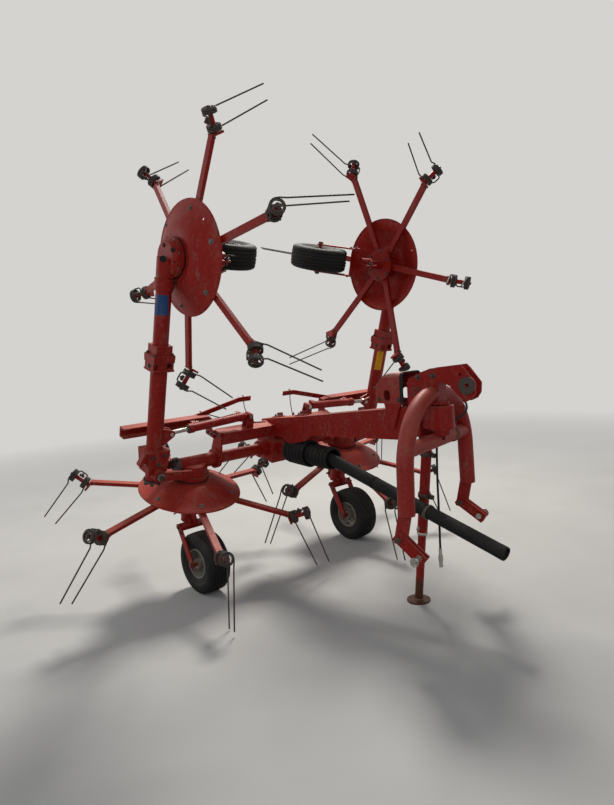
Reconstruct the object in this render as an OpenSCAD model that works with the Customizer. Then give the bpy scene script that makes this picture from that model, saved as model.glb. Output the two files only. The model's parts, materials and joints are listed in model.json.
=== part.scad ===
// Folded hay tedder on its two inner wheels and its parking stand, millimetres.
// +Z is up, -Y is the front where the tractor hitches, X = 0 is the mid-plane.
// "inner" rotors lie under the cross beam, "outer" rotors stand on the folded booms.
// The carrier (cross beam, gear pots, booms) leans forward about X by the carrier lean.
// In the carrier frame: x across, v rearward, n along the rotor shafts.

/* [Carrier] */
// Distance of the inner rotor shafts behind the origin
shaft_y = 466; // [440:1:490]
// Forward lean of the cross beam and rotors, degrees
carrier_lean = 17.2; // [10:0.1:22]
// Height of the inner rotors' coil plane at their shafts
coil_h = 618; // [600:1:680]
// Distance between the two inner rotor shafts
rotor_gap = 1391; // [1380:1:1440]
// Height of the drive line above the coil plane
drive_n = 250; // [240:1:270]
// Outer radius of the drive tubes
drive_r = 40; // [30:1:46]
// Half length of the upper cross channel
channel_half = 500; // [460:1:520]
// Width of the upper cross channel, front to back
channel_w = 100; // [80:1:110]
// Height of the upper cross channel
channel_h = 80; // [60:1:90]
// Height of the channel's underside above the coil plane
channel_n = 362; // [355:1:365]
// Thickness of the channel's end plates
end_plate_t = 14; // [8:1:20]

/* [Rotors] */
// Radius of the circle of spring coils
coil_circle = 753; // [740:1:765]
// Number of tine arms on a rotor
arm_count = 6; // [3:1:7]
// Radius of the disc at its rolled rim
disc_r = 332; // [310:1:345]
// Height of the disc's rim above the coil plane
disc_rim_n = 66; // [62:1:72]
// Height of the disc's flat crown above the coil plane
disc_top_n = 150; // [140:1:152]
// Sheet thickness of the disc
disc_t = 5; // [3:0.5:7]
// Width of a tine arm
arm_w = 40; // [30:1:48]
// Depth of a tine arm
arm_d = 24; // [16:1:28]
// Radius of the rotor hub
hub_r = 82; // [70:1:92]
// Radius of the fixed post inside the hub
post_r = 30; // [24:1:34]

/* [Tines] */
// Wire radius of a spring tine
wire_r = 4.6; // [3:0.1:5]
// Outer radius of a spring coil
coil_r = 44; // [38:1:46]
// Number of turns in a coil
coil_turns = 4; // [3:1:4]
// Wall of a coil
coil_wall = 11.5; // [11:0.5:14]
// Distance between the two coils of a tine pair
coil_gap = 88; // [84:1:96]
// Tilt of the coil axis towards the crown at its outer end, degrees
coil_tilt = 28; // [20:1:34]
// Length of a tine from its coil to its tip
tine_len = 398; // [340:1:400]
// Length of the tine's first stretch, before its kink
kink_len = 60; // [30:1:80]
// Bend at the tine's kink, degrees
kink_bend = 9; // [0:1:14]

/* [Booms] */
// Distance of the boom axis and its fold pin from the mid-plane
boom_x = 980; // [975:1:1000]
// Outer radius of the boom tube
boom_r = 50; // [42:1:56]
// Height of the swivel joint on the boom, above the coil plane
swivel_n = 985; // [960:1:1010]
// Height of the outer rotor's shaft above the coil plane, folded
outer_n = 1574; // [1560:1:1590]
// Distance of the outer rotor's coil plane from the mid-plane, folded
outer_x = 770; // [765:1:790]
// Radius of the fold pin
pin_r = 15; // [12:0.5:18]
// Running clearance of a pin or shaft in its bore
run_gap = 0.4; // [0.2:0.1:0.6]

/* [Wheels] */
// Tyre radius
tyre_r = 202; // [190:1:206]
// Tyre width
tyre_w = 160; // [140:1:170]
// Rim radius
rim_r = 104; // [95:1:110]
// Distance of the wheel axle in front of the rotor shaft
wheel_v = 247; // [240:1:260]

/* [Hitch] */
// Distance of the swing pivot in front of the rotor shafts
swing_y = 1570; // [1560:1:1600]
// Swing of the headstock at rest, degrees
swing_rest = 12; // [0:1:14]
// Forward lean of the headstock's arch, degrees
swing_lean = 0; // [0:0.5:1]
// Radius of the headstock's arch tube
arch_r = 45; // [38:1:48]
// Radius of the headstock's cross tube
cross_r = 40; // [30:1:42]
// Height of the cross tube
cross_z = 1015; // [1000:1:1020]
// Height of the arch's top
arch_top_z = 1272; // [1268:1:1280]
// Half width of the arch at its feet
arch_foot_x = 395; // [390:1:400]
// Half width of the arch where its bends start
arch_top_x = 385; // [375:1:388]
// Radius of the arch's bends
arch_bend = 358; // [300:1:362]
// Height of the arch's feet
arch_foot_z = 690; // [680:1:720]
// Radius of the lower link pins
link_pin_r = 14.3; // [11:0.1:14.3]
// Distance of the lower link pins' shoulders from the mid-plane
link_shoulder_x = 412.5; // [410:0.5:430]
// Free length of a lower link pin
link_pin_len = 62; // [50:1:80]
// Turn of the loose link brackets about their pivots, right one down, left one up, degrees
bracket_play = 3; // [1:0.5:5]
// Radius of the top link pin hole
top_bore_r = 12.7; // [9.6:0.1:13]

/* [Parking stand] */
// Distance of the stand's foot in front of the rotor shafts
stand_y = 1290; // [1280:1:1295]
// Distance of the stand to the left of the mid-plane
stand_x = 66; // [64:1:80]
// Outer radius of the stand's sliding tube
stand_r = 24; // [18:1:26]
// Wall of the stand's outer tube
stand_wall = 5; // [3:0.5:6]
// Radius of the foot plate
foot_r = 70; // [50:1:90]

/* [Hidden] */
$fn = 64;
red = "#b8392a";
rust = "#6b4033";
dark = "#232323";
steel = "#8a8782";
// Gap between faces that belong together on different pieces
seat = 0.3;
// Working clearance between moving pieces
clear = 6;
// Phases of the arms at rest, degrees: rotor shaft seen from the crown
phase_inner_right = 46.2;
phase_inner_left = 19;
phase_outer_right = 2.4;
phase_outer_left = 28.5;
// Depth of the wheel axles below the coil plane, which sets the inner tyres on the ground
wheel_n = (coil_h - wheel_v * sin(carrier_lean) - tyre_r) / cos(carrier_lean);
// Hub under the disc's crown
hub_low = 22;
hub_top = disc_top_n - disc_t;
// Arm: its centre line drops from the hub to the coils
arm_in = [60, 64];
arm_out = [676, -12];
arm_slope = atan2(arm_in[1] - arm_out[1], arm_out[0] - arm_in[0]);
arm_len = norm(arm_out - arm_in);
bolt_circle = 280;
// Gear pot on the rotor shaft
pot_r = 112;
pot_low = disc_top_n + 8;
tee_r = 46;
tee_half = 165;
// Fold hinge
ear_in = 76;
ear_t = 22;
ear_r = 40;
rotor_x = rotor_gap / 2;
outer_drop = boom_x - outer_x;
socket_top = 405;
boom_low = 380;
// Lug on the boom that the fold cylinder's rod works
lug_off = 100;
lug_n = 490;
lug_gap = 34;
lug_t = 10;
barrel_x = 270;
barrel_n = 525;
barrel_r = 27;
hose_ends = [68, 418];
rod_r = 14;
eye_pin_r = 9;
eye_neck_r = 12.5;
// Hitch geometry in the headstock's own frame, forward is -Y
foot_y = 32;
pivot_y = 70;
pivot_z = 565;
pin_y = -38;
pin_z = 486;
top_link_y = -176;
top_link_z = 1318;
pivot_r = 12;
bell_r = 92;
guard_rear = 130;
stub_r = 17.4;
lug_plate = 16;
link_plate = 12;
link_core_r = link_pin_r + 2.7;
// Undercut between a bracket and its pin's shoulder
neck_len = 0.5;
neck_r = link_pin_r - 0.8;
link_lug_x = link_shoulder_x - link_plate - seat - lug_plate / 2;
leg_lean = atan2(arch_foot_x - arch_top_x, arch_top_z - arch_foot_z - arch_bend);
bend_z = arch_top_z - arch_foot_z - arch_bend;
bend_x = arch_foot_x - bend_z * tan(leg_lean) - arch_bend / cos(leg_lean);
spigot = 20;
spigot_r = 36;
// Boom's front end and the parking stand's line
nose_y = 1475;
nose_low = 1040;
nose_flat = 100;
stand_lean = 7;
swing_pin_r = 23;
block_top = 1338;
arm_plate_x = 40;
arm_plate_t = 12;
eye_low = 62;
boom_half = 68;
cover_half = 86;
cover_t = 4;
eye_top = 192;
// Hose on the headstock, in the headstock's frame
hose_r = 6.5;
gland_r = 9;
hose_exit = [58, 0, 1060];
hose_route = [hose_exit, [67, 0, 1060], [76, 0, 1060], [98, 12, 1065], [119, 42, 1079],
  [140, 66, 1094], [168, 82, 1112],
  [205, 90, 1136], [248, 93, 1166], [284, 90, 1194], [308, 74, 1210], [322, 48, 1212], [326, 18, 1202],
  [316, -10, 1182], [288, -26, 1153], [242, -26, 1126], [194, -10, 1108], [158, 24, 1092], [136, 58, 1068],
  [120, 82, 1034], [110, 86, 990], [98, 84, 930], [84, 80, 850], [74, 77, 760], [70, 75, 660], [69, 75, 560],
  [66, 74, 470], [62, 73, 412], [62, 73, 392], [62, 73, 372]];

// The origin is on the ground under the middle of the machine's length
module placed() {
  translate([0, shaft_y, 0]) children();
}

module carrier() {
  translate([0, 0, coil_h]) rotate([carrier_lean, 0, 0]) children();
}

// The shapes below are drawn for the left side, +X, and mirrored for the right
module on_side(side) {
  if (side > 0) children();
  else mirror([1, 0, 0]) children();
}

module inner_frame(side) {
  carrier() on_side(side) translate([rotor_x, 0, 0]) children();
}

module outer_frame(side) {
  carrier() on_side(side) translate([outer_x, 0, outer_n]) rotate([180, -90, 0]) children();
}

module box(size, at) {
  translate(at - size / 2) cube(size);
}

module rod_x(r, x0, x1) {
  translate([x0, 0, 0]) rotate([0, 90, 0]) cylinder(r = r, h = x1 - x0);
}

module rod_y(r, y0, y1) {
  translate([0, y0, 0]) rotate([-90, 0, 0]) cylinder(r = r, h = y1 - y0);
}

// A round bar between two points
module bar(r, a, b) {
  d = b - a;
  translate(a) rotate([0, acos(d[2] / norm(d)), atan2(d[1], d[0])]) cylinder(r = r, h = norm(d));
}

// A flat bar in the plane x = x0 between two points [y, z], of width w and thickness t
module strap(x0, t, w, a, b) {
  d = b - a;
  translate([x0, a[0], a[1]]) rotate([atan2(d[1], d[0]), 0, 0])
    translate([-t / 2, -w / 2, -w / 2]) cube([t, norm(d) + w, w]);
}

// Rotor pieces, in the rotor's frame with n along the shaft

// Height of the dish over its rim, t from 0 at the rim's brim to 1 at the crown
function dish(t) = (disc_top_n - disc_rim_n) * (0.45 * t + 0.275 * (1 - cos(180 * t)));

module disc(phase) {
  steps = 9;
  crown_r = pot_r + 38;
  brim_r = disc_r - 8;
  outer = [for (i = [0:steps]) [brim_r + (crown_r - brim_r) * i / steps, disc_rim_n + dish(i / steps)]];
  color(red) difference() {
    rotate_extrude($fn = 96) polygon(concat(
      [[hub_r - 22, disc_top_n]],
      [for (i = [steps:-1:0]) outer[i]],
      [[disc_r, disc_rim_n - 3], [disc_r + 3, disc_rim_n - 9], [disc_r - 5, disc_rim_n - 12],
        [disc_r - 9, disc_rim_n - disc_t]],
      [for (i = [1:steps]) outer[i] - [disc_t / 2, disc_t]],
      [[hub_r - 22, hub_top]]));
    // Drain hole, midway between two of the arms' bolts
    rotate([0, 0, phase + 180 / arm_count]) translate([bolt_circle, 0, disc_rim_n - 20])
      cylinder(r = 7, h = 60);
  }
}

module arms(phase) {
  color(red) difference() {
    union() {
      translate([0, 0, hub_low]) cylinder(r = hub_r, h = hub_top - hub_low);
      translate([0, 0, hub_low]) cylinder(r = hub_r + 34, h = 14);
      for (i = [0:arm_count - 1]) rotate([0, 0, phase + i * 360 / arm_count]) {
        translate([arm_in[0], 0, arm_in[1]]) rotate([0, arm_slope, 0])
          translate([0, -arm_w / 2, -arm_d / 2]) cube([arm_len, arm_w, arm_d]);
        bolt_n = arm_in[1] - (bolt_circle - arm_in[0]) * tan(arm_slope);
        bolt_seat = disc_rim_n - disc_t + dish((disc_r - 8 - bolt_circle - 12) / (disc_r - pot_r - 46));
        translate([bolt_circle, 0, bolt_n]) cylinder(r = 12, h = bolt_seat - 2 * seat - bolt_n);
        coil_axis() box([12, 58, 72], [-coil_gap / 2 - 30, 0, 0]);
      }
    }
    translate([0, 0, hub_low - 1]) cylinder(r = post_r + 2 * run_gap, h = hub_top);
  }
}

// Frame at the middle of a tine pair, X along the coils' axis
module coil_axis() {
  translate([coil_circle, 0, 0]) rotate([0, -coil_tilt, 0]) children();
}

// One coil with its ribs, revolved about X
module coil(x0) {
  pitch = 1.9 * wire_r;
  half = coil_turns * pitch / 2;
  translate([x0, 0, 0]) rotate([0, 90, 0]) rotate_extrude($fn = 48) polygon(concat(
    [[coil_r - coil_wall, -half], [coil_r - coil_wall, half]],
    [for (i = [0:2 * coil_turns])
      [coil_r - (i % 2 == 0 ? 2.4 : 0), half - i * pitch / 2]]));
}

module tine_pair() {
  half = coil_turns * 0.95 * wire_r;
  coil_axis() {
    translate([-coil_gap / 2 - 24 + seat, 0, 0]) rod_x(15, 0, coil_gap + 24 + half + 6);
    for (x0 = [-coil_gap / 2, coil_gap / 2]) {
      coil(x0);
      translate([x0 + half - 6, 0, 0]) rod_x(coil_r - wire_r, 0, 7);
      root = [x0, wire_r + 0.8 - coil_r, 0];
      knee = root + kink_len * [-sin(kink_bend), 0, -cos(kink_bend)];
      tip = [x0 + 14, -15, -tine_len];
      bar(wire_r, root, knee);
      translate(knee) sphere(r = wire_r + 0.5);
      bar(wire_r, knee, tip);
    }
  }
}

module tines(phase) {
  color(dark) for (i = [0:arm_count - 1]) rotate([0, 0, phase + i * 360 / arm_count]) tine_pair();
}

// Fixed post through the hub, the adjusting sector and the fork of a support wheel
module wheel_leg() {
  fork_x = tyre_w / 2 + 16;
  axle = [-wheel_v, -wheel_n];
  crown = [-62, -178];
  color(red) {
    translate([0, 0, -165]) cylinder(r = post_r, h = pot_low - seat + 165);
    translate([0, 0, -172]) cylinder(r = post_r + 14, h = 96);
    difference() {
      translate([-6, -10, -128]) rod_x(98, 0, 12);
      for (a = [-70:28:42]) translate([-7, -10 + 104 * sin(a), -128 + 104 * cos(a)]) rod_x(17, 0, 14);
      box([20, 260, 90], [0, 0, -228]);
    }
    box([2 * fork_x + 18, 54, 26], [0, crown[0], crown[1] + 2]);
    box([46, 70, 40], [0, -34, -158]);
    for (s = [-1, 1]) strap(s * fork_x, 10, 46, crown, axle);
    translate([0, axle[0], axle[1]]) rod_x(12, -fork_x - 20, fork_x + 20);
  }
}

module tyre() {
  // Outline columns: radius, half width
  side = [[rim_r - 4, 58], [rim_r + 10, 66], [rim_r + 42, tyre_w / 2], [tyre_r - 22, tyre_w / 2 - 3],
    [tyre_r - 6, tyre_w / 2 - 16], [tyre_r, tyre_w / 2 - 34]];
  translate([0, -wheel_v, -wheel_n]) rotate([0, 90, 0]) color(dark) rotate_extrude($fn = 96)
    polygon(concat([for (p = side) p], [for (i = [5:-1:0]) [side[i][0], -side[i][1]]]));
}

module rim() {
  translate([0, -wheel_v, -wheel_n]) rotate([0, 90, 0]) color(steel) difference() {
    rotate_extrude($fn = 96) polygon([[12.8, -62], [34, -62], [34, -22], [70, -14], [rim_r - 16, -26],
      [rim_r - 14, -66], [rim_r - 6, -66], [rim_r - 4 - seat, -58], [rim_r - 4 - seat, 58],
      [rim_r - 6, 66], [rim_r - 14, 66], [rim_r - 16, 0], [70, -6], [34, -14], [34, 62], [12.8, 62]]);
  }
}

// Gear pot: drum under the drive line, drawn with the drive line along X at height line_n
module pot(line_n) {
  skirt = 26;
  rise = line_n - pot_low - 20;
  shoulder = 26;
  rotate_extrude($fn = 72) polygon(concat(
    [[0, pot_low], [pot_r, pot_low], [pot_r, pot_low + skirt - 6], [pot_r + 4, pot_low + skirt - 6],
      [pot_r + 4, pot_low + skirt + 4], [pot_r - 6, pot_low + skirt + 4]],
    [for (a = [0:18:90]) [pot_r - 6 - shoulder + shoulder * cos(a), pot_low + skirt + 5 + (rise - 5) * sin(a)]],
    [[0, pot_low + skirt + rise]]));
}

module gear_pot(side) {
  inner_frame(side) color(red) difference() {
    union() {
      pot(drive_n);
      translate([0, 0, drive_n]) {
        rod_x(tee_r, -tee_half, 108);
        rod_x(drive_r, -rotor_x + 152, -tee_half);
        rod_x(66, -tee_half - 14, -tee_half);
      }
      for (s = [-1, 1]) {
        translate([boom_x - rotor_x, 0, drive_n]) rod_y(ear_r, s > 0 ? ear_in : -ear_in - ear_t,
          s > 0 ? ear_in + ear_t : -ear_in);
        strap_x(s * (ear_in + ear_t / 2), ear_t, 58, [60, drive_n - 34], [boom_x - rotor_x, drive_n]);
      }
    }
    translate([boom_x - rotor_x, 0, drive_n]) rod_y(pin_r + seat, -150, 150);
  }
}

// A flat bar in the plane y = y0 between two points [x, z], of width w and thickness t
module strap_x(y0, t, w, a, b) {
  d = b - a;
  translate([a[0], y0, a[1]]) rotate([0, -atan2(d[1], d[0]), 0])
    translate([0, -t / 2, -w / 2]) cube([norm(d), t, w]);
}

// Half of a finger clutch, drawn with its fingers towards +X
module clutch_half() {
  color(dark) {
    rod_x(56, 0, 16);
    for (i = [0:5]) rotate([i * 60, 0, 0]) box([24, 20, 16], [20, 0, 46]);
  }
}

module clutch_frame() {
  for (side = [-1, 1]) inner_frame(side) translate([108 + seat, 0, drive_n]) clutch_half();
}

module fold_pins() {
  color(steel) for (side = [-1, 1]) carrier() on_side(side) translate([boom_x, 0, drive_n]) {
    rod_y(pin_r, -ear_in - ear_t - 10, ear_in + ear_t + 10);
    for (s = [-1, 1]) translate([0, s * (ear_in + ear_t + 5 + seat), 0]) rod_y(pin_r + 9, -5, 5);
  }
}

module boom_socket(side) {
  carrier() on_side(side) translate([boom_x, 0, 0]) color(red) difference() {
    union() {
      translate([0, 0, drive_n]) rod_y(ear_r, -ear_in + 2, ear_in - 2);
      hull() {
        box([150, 132, 10], [0, 0, socket_top - 5]);
        box([126, 120, 10], [0, 0, drive_n + 10]);
      }
      translate([0, 0, drive_n - 52]) cylinder(r = 46, h = 60);
      // Claw on the outer side
      translate([0, -10, socket_top]) rotate([90, 0, 0]) linear_extrude(height = 40)
        polygon([[58, -1], [84, -6], [122, -73], [116, -88], [104, -88], [97, -70], [80, -70], [70, -96],
          [52, -106]]);
    }
    translate([0, 0, drive_n]) rod_y(pin_r + run_gap, -150, 150);
    translate([0, 0, boom_low]) cylinder(r = boom_r, h = 100);
  }
}

module boom_clutch(side) {
  carrier() on_side(side) translate([boom_x, 0, drive_n - 52 - seat]) rotate([0, 90, 0]) clutch_half();
}

module boom_tube(side) {
  flange_t = 18;
  carrier() on_side(side) translate([boom_x, 0, 0]) color(red) difference() {
    union() {
      translate([0, 0, boom_low + seat]) cylinder(r = boom_r, h = swivel_n - boom_low - seat);
      box([138, 118, flange_t], [0, 0, swivel_n - flange_t / 2]);
      box([138, 118, 12], [0, 0, swivel_n - 66]);
      for (s = [-1, 1]) box([12, 100, 60], [s * 62, 0, swivel_n - 40]);
      for (s = [-1, 1]) difference() {
        hull() {
          translate([-lug_off, 0, lug_n]) rod_y(26, s > 0 ? lug_gap / 2 : -lug_gap / 2 - lug_t,
            s > 0 ? lug_gap / 2 + lug_t : -lug_gap / 2);
          box([12, lug_t, 110], [-boom_r + 8, s * (lug_gap + lug_t) / 2, lug_n - 10]);
        }
        translate([-lug_off, 0, lug_n]) rod_y(9, -60, 60);
      }
    }
    translate([0, 0, swivel_n - 150]) cylinder(r = boom_r - 14 + run_gap, h = 200);
  }
}

// Turning head: collar, neck tube and the gear pot of an outer rotor
module neck(side) {
  color(red) {
    outer_frame(side) {
      pot(outer_drop);
      translate([0, 0, outer_drop]) {
        rod_x(tee_r + 4, -190, 0);
        rod_x(tee_r, -(outer_n - swivel_n - seat), -180);
        rod_x(tee_r + 10, -176, -120);
      }
    }
    carrier() on_side(side) translate([boom_x, 0, 0]) {
      translate([0, 0, swivel_n + seat]) box([140, 120, 26], [0, 0, 13]);
      box([104, 104, 60], [0, 0, swivel_n + 54]);
      translate([0, 0, swivel_n - 148]) cylinder(r = boom_r - 14, h = 170);
    }
  }
}

// Fold cylinders: pinned on the cross beam, their rods end at the booms' lugs

module cylinder_frame(side) {
  reach = [boom_x - lug_off - barrel_x, lug_n - barrel_n];
  carrier() on_side(side) translate([barrel_x, 0, barrel_n]) rotate([0, -atan2(reach[1], reach[0]), 0])
    children();
}

module barrel(side) {
  cylinder_frame(side) color(red) difference() {
    union() {
      rod_x(barrel_r, 38, 470);
      rod_y(22, -14, 14);
      rod_x(eye_neck_r, 10, 50);
      translate([440, 0, 0]) rod_x(barrel_r + 4, 0, 34);
      // Fittings for the hose along the barrel's rear side
      for (x = hose_ends) box([28, 32, 22], [x, 35, 14]);
    }
    rod_y(eye_pin_r, -60, 60);
    rod_x(rod_r + run_gap, 60, 600);
  }
}

// Pins through the cross beam's lugs and the barrels' eyes
module cylinder_pins() {
  color(steel) for (side = [-1, 1]) carrier() on_side(side) translate([barrel_x, 0, barrel_n]) {
    rod_y(eye_pin_r - seat, -36, 36);
    for (s = [-1, 1]) translate([0, s * 31, 0]) rod_y(eye_pin_r + 5, -3, 3);
  }
}

module rod(side) {
  reach = norm([boom_x - lug_off - barrel_x, lug_n - barrel_n]);
  cylinder_frame(side) color(steel) difference() {
    union() {
      rod_x(rod_r, 90, reach - 10);
      translate([reach, 0, 0]) rod_y(19, -12, 12);
    }
    translate([reach, 0, 0]) rod_y(8.5, -60, 60);
  }
}

// Cross beam with its end plates and the cylinders' brackets
module channel_bar(grow) {
  box([2 * channel_half + 2 * grow, channel_w + 2 * grow, channel_h + 2 * grow],
    [0, 0, channel_n + channel_h / 2]);
}

module cross_beam() {
  color(red) carrier() {
    channel_bar(0);
    for (s = [-1, 1]) {
      difference() {
        hull() {
          box([end_plate_t, 70, 4], [s * (channel_half + end_plate_t / 2), 0, channel_n + channel_h - 2]);
          translate([s * (channel_half + end_plate_t / 2), 0, drive_n]) rod_x(64, -end_plate_t / 2,
            end_plate_t / 2);
        }
        translate([s * channel_half, 0, drive_n]) rod_x(drive_r + seat, -40, 40);
      }
      for (t = [-1, 1]) difference() {
        hull() {
          translate([s * barrel_x, t * 22, barrel_n]) rod_y(20, -5, 5);
          box([60, 10, 8], [s * barrel_x, t * 22, channel_n + channel_h + 4]);
        }
        translate([s * barrel_x, 0, barrel_n]) rod_y(eye_pin_r, -60, 60);
      }
    }
  }
}

// Tapered box boom from the cross beam to the swing pivot, with its gussets
module center_boom() {
  // Side outline columns: y forward negative, height
  outline = [[-30, 985], [-30, 1062], [-484, 1100], [-1092, 1166], [-nose_y, 1206], [-nose_y, nose_low],
    [nose_flat - nose_y, nose_low], [-1356, 1008], [-562, 975], [-500, 935], [-330, 900], [-250, 938]];
  neck_half = 54;
  color(red) difference() {
    union() {
      translate([-boom_half, 0, 0]) rotate([90, 0, 90]) linear_extrude(height = 2 * boom_half) polygon(outline);
      swing_axis() translate([0, 0, eye_low]) cylinder(r = 70, h = eye_top - eye_low);
      swing_axis() translate([-neck_half, 0, eye_low + 4])
        cube([2 * neck_half, swing_y - nose_y + 20, eye_top - eye_low - 8]);
      // V gussets that carry the pivot's cover
      for (s = [-1, 1]) on_side(s) translate([boom_half - 4, -swing_y, 0]) rotate([90, 0, 90])
        linear_extrude(height = cover_half - cover_t - seat - boom_half + 4)
          polygon([[345, 1232], [215, 1232], [272, 1072], [298, 1072]]);
    }
    carrier() channel_bar(seat);
    swing_axis() cylinder(r = swing_pin_r + run_gap, h = 400);
    carrier() translate([0, 0, barrel_n]) box([2 * barrel_x + 60, 90, 80], [0, 0, 10]);
    carrier() gearbox_room();
    pto_axis() rod_y(bell_r + seat, -80, guard_rear + 12);
  }
}

// Sheet cover over the swing pivot, open at its front and underneath
module head_cover() {
  // Side outline columns: distance behind the pivot, height
  side = [[205, 1215], [400, 1215], [396, 1300], [384, 1325], [322, 1380], [290, 1390], [205, 1395]];
  inner = [[204, 1200], [396, 1200], [392, 1298], [381, 1321], [320, 1376], [289, 1386], [204, 1391]];
  bend = 30;
  color(red) translate([0, -swing_y, 0]) difference() {
    intersection() {
      translate([-cover_half, 0, 0]) rotate([90, 0, 90]) linear_extrude(height = 2 * cover_half) polygon(side);
      cover_section(cover_half, 1395, bend);
    }
    intersection() {
      translate([-cover_half, 0, 0]) rotate([90, 0, 90]) linear_extrude(height = 2 * cover_half) polygon(inner);
      cover_section(cover_half - cover_t, 1395 - cover_t, bend - cover_t);
    }
    // Oval hand hole on each side
    for (z = [1250:5:1270]) translate([0, 312, z]) rod_x(24, -cover_half - 10, cover_half + 10);
  }
}

// The cover's cross-section, round at its two upper edges, reaching from before to behind it
module cover_section(half, top, bend) {
  arc = [for (a = [0:15:90]) [half - bend + bend * cos(a), top - bend + bend * sin(a)]];
  translate([0, 500, 0]) rotate([90, 0, 0]) linear_extrude(height = 400)
    polygon(concat([[-half, 1190], [half, 1190]], arc, [for (i = [6:-1:0]) [-arc[i][0], arc[i][1]]]));
}

// Space for the centre gearbox and its neck under the cross channel
module gearbox_room() {
  box([250, 250, 210], [0, 0, drive_n - 15]);
  box([91, 71, 200], [0, 0, drive_n + 60]);
}

module swing_axis() {
  translate([0, -swing_y, cross_z]) children();
}

module centre_gearbox() {
  color(red) carrier() {
    box([200, 190, 150], [0, -10, drive_n]);
    translate([0, 0, drive_n]) rod_x(60, -150, 150);
    box([90, 70, channel_n - drive_n - 75 - seat], [0, 0, (channel_n + drive_n + 75 - seat) / 2]);
  }
  color(red) pto_axis() rod_y(60, guard_rear + seat, guard_rear + 105);
  color(steel) pto_axis() rod_y(stub_r, guard_rear - 150, guard_rear + 105);
}

module pto_axis() {
  translate([0, -395, 840]) rotate([4, 0, 0]) children();
}

module pto_guard() {
  color(dark) pto_axis() {
    difference() {
      union() {
        rod_y(bell_r - 4, -80, guard_rear);
        for (y = [-80:35:guard_rear - 20]) rod_y(bell_r, y, y + 12);
      }
      rod_y(bell_r - 9, -85, guard_rear - 8);
      rod_y(44, -100, 200);
    }
    difference() {
      union() {
        rod_y(70, -290, -70);
        for (y = [-290:34:-110]) rod_y(74, y, y + 11);
      }
      rod_y(64, -300, -78);
      rod_y(40, -100, 0);
    }
    difference() {
      rod_y(46, -90, guard_rear);
      rod_y(40, -100, 200);
    }
  }
}

module pto_shaft() {
  start = [0, -650, 821];
  end = [-14, -1946, 452];
  color(dark) difference() {
    union() {
      bar(38, start, end);
      pto_axis() rod_y(34, -260, 60);
    }
    pto_axis() rod_y(stub_r + seat, guard_rear - 156, guard_rear);
    bar(30, end + 200 * (start - end) / norm(start - end), end + 20 * (end - start) / norm(start - end));
  }
  color(steel) bar(21, end + 240 * (start - end) / norm(start - end),
    end + 10 * (start - end) / norm(start - end));
}

// Rails behind the booms, with slanted latch bars that end over the cross beam
module rear_rails() {
  rail_v = [95, 153];
  rail_n = [453, 519];
  rail_x = [593, 1139];
  web = 14;
  flange = 9;
  plate_x = channel_half + end_plate_t + seat;
  // Latch bar: centre line in x and n, half width, span in v
  latch = [[650, 490], [250, 584], [150, 584]];
  latch_half = 17;
  color(red) carrier() for (s = [-1, 1]) on_side(s) {
    translate([rail_x[0], 0, 0]) rotate([90, 0, 90]) linear_extrude(height = rail_x[1] - rail_x[0])
      polygon([[rail_v[0], rail_n[0]], [rail_v[1], rail_n[0]], [rail_v[1], rail_n[1]], [rail_v[0], rail_n[1]],
        [rail_v[0], rail_n[1] - flange], [rail_v[1] - web, rail_n[1] - flange],
        [rail_v[1] - web, rail_n[0] + flange], [rail_v[0], rail_n[0] + flange]]);
    // Bracket from the channel's end plate to the rail's inside
    translate([plate_x, 0, 0]) rotate([90, 0, 90]) linear_extrude(height = 12)
      polygon([[30, 385], [120, 385], [142, 452], [142, 512], [86, 512], [70, 440], [30, 440]]);
    translate([plate_x + 4, 0, 0]) rotate([90, 0, 90]) linear_extrude(height = 106)
      polygon([[104, 458], [143, 458], [143, 514], [104, 514]]);
    translate([0, rail_v[1] + 6, 0]) rotate([90, 0, 0]) linear_extrude(height = 8)
      polygon(concat([for (p = latch) p + [0, latch_half]], [for (i = [2:-1:0]) latch[i] - [0, latch_half]]));
  }
}

// Headstock, in its own frame that swings about the pivot
module headstock() {
  translate([0, -swing_y, 0]) rotate([0, 0, swing_rest]) children();
}

// The arch leans about its feet's line
module arch_plane() {
  translate([0, foot_y, arch_foot_z]) rotate([swing_lean, 0, 0]) children();
}

// The arch's two bends and its straight top
module arch_top_tube(r) {
  arch_plane() {
    for (s = [-1, 1]) on_side(s) translate([bend_x, 0, bend_z]) rotate([90, 0, 0]) rotate([0, 0, leg_lean])
      rotate_extrude(angle = 90 - leg_lean) translate([arch_bend, 0]) circle(r = r);
    translate([0, 0, bend_z + arch_bend]) rod_x(r, -bend_x, bend_x);
  }
}

module cross_tube(r) {
  arch_plane() translate([0, 0, cross_z - arch_foot_z]) rod_x(r, -arch_top_x, arch_top_x);
}

module headstock_arch() {
  tangent = [bend_x + arch_bend * cos(leg_lean), bend_z + arch_bend * sin(leg_lean)];
  color(red) headstock() difference() {
    union() {
      arch_top_tube(arch_r);
      arch_plane() {
        for (s = [-1, 1]) {
          bar(arch_r, [s * arch_foot_x, 0, 0], [s * tangent[0], 0, tangent[1]]);
          bar(spigot_r, [s * arch_foot_x, 0, 0],
            [s * (tangent[0] - spigot * tan(leg_lean)), 0, tangent[1] + spigot]);
        }
        translate([0, 0, bend_z + arch_bend]) rod_x(spigot_r, -bend_x - spigot, bend_x + spigot);
      }
      cross_tube(cross_r);
      for (s = [-1, 1]) on_side(s) strap(link_lug_x, lug_plate, 70, [pivot_y, pivot_z],
        [foot_y, arch_foot_z + 50]);
    }
    for (s = [-1, 1]) translate([0, pivot_y, pivot_z]) rod_x(pivot_r + seat, -500, 500);
    translate([0, 0, cross_z]) cylinder(r = swing_pin_r + seat, h = 60);
  }
}

// A lower link bracket's place, turned about its pivot
module link_side(s) {
  translate([0, pivot_y, pivot_z]) rotate([-s * bracket_play, 0, 0]) translate([0, -pivot_y, -pivot_z])
    on_side(s) children();
}

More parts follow.
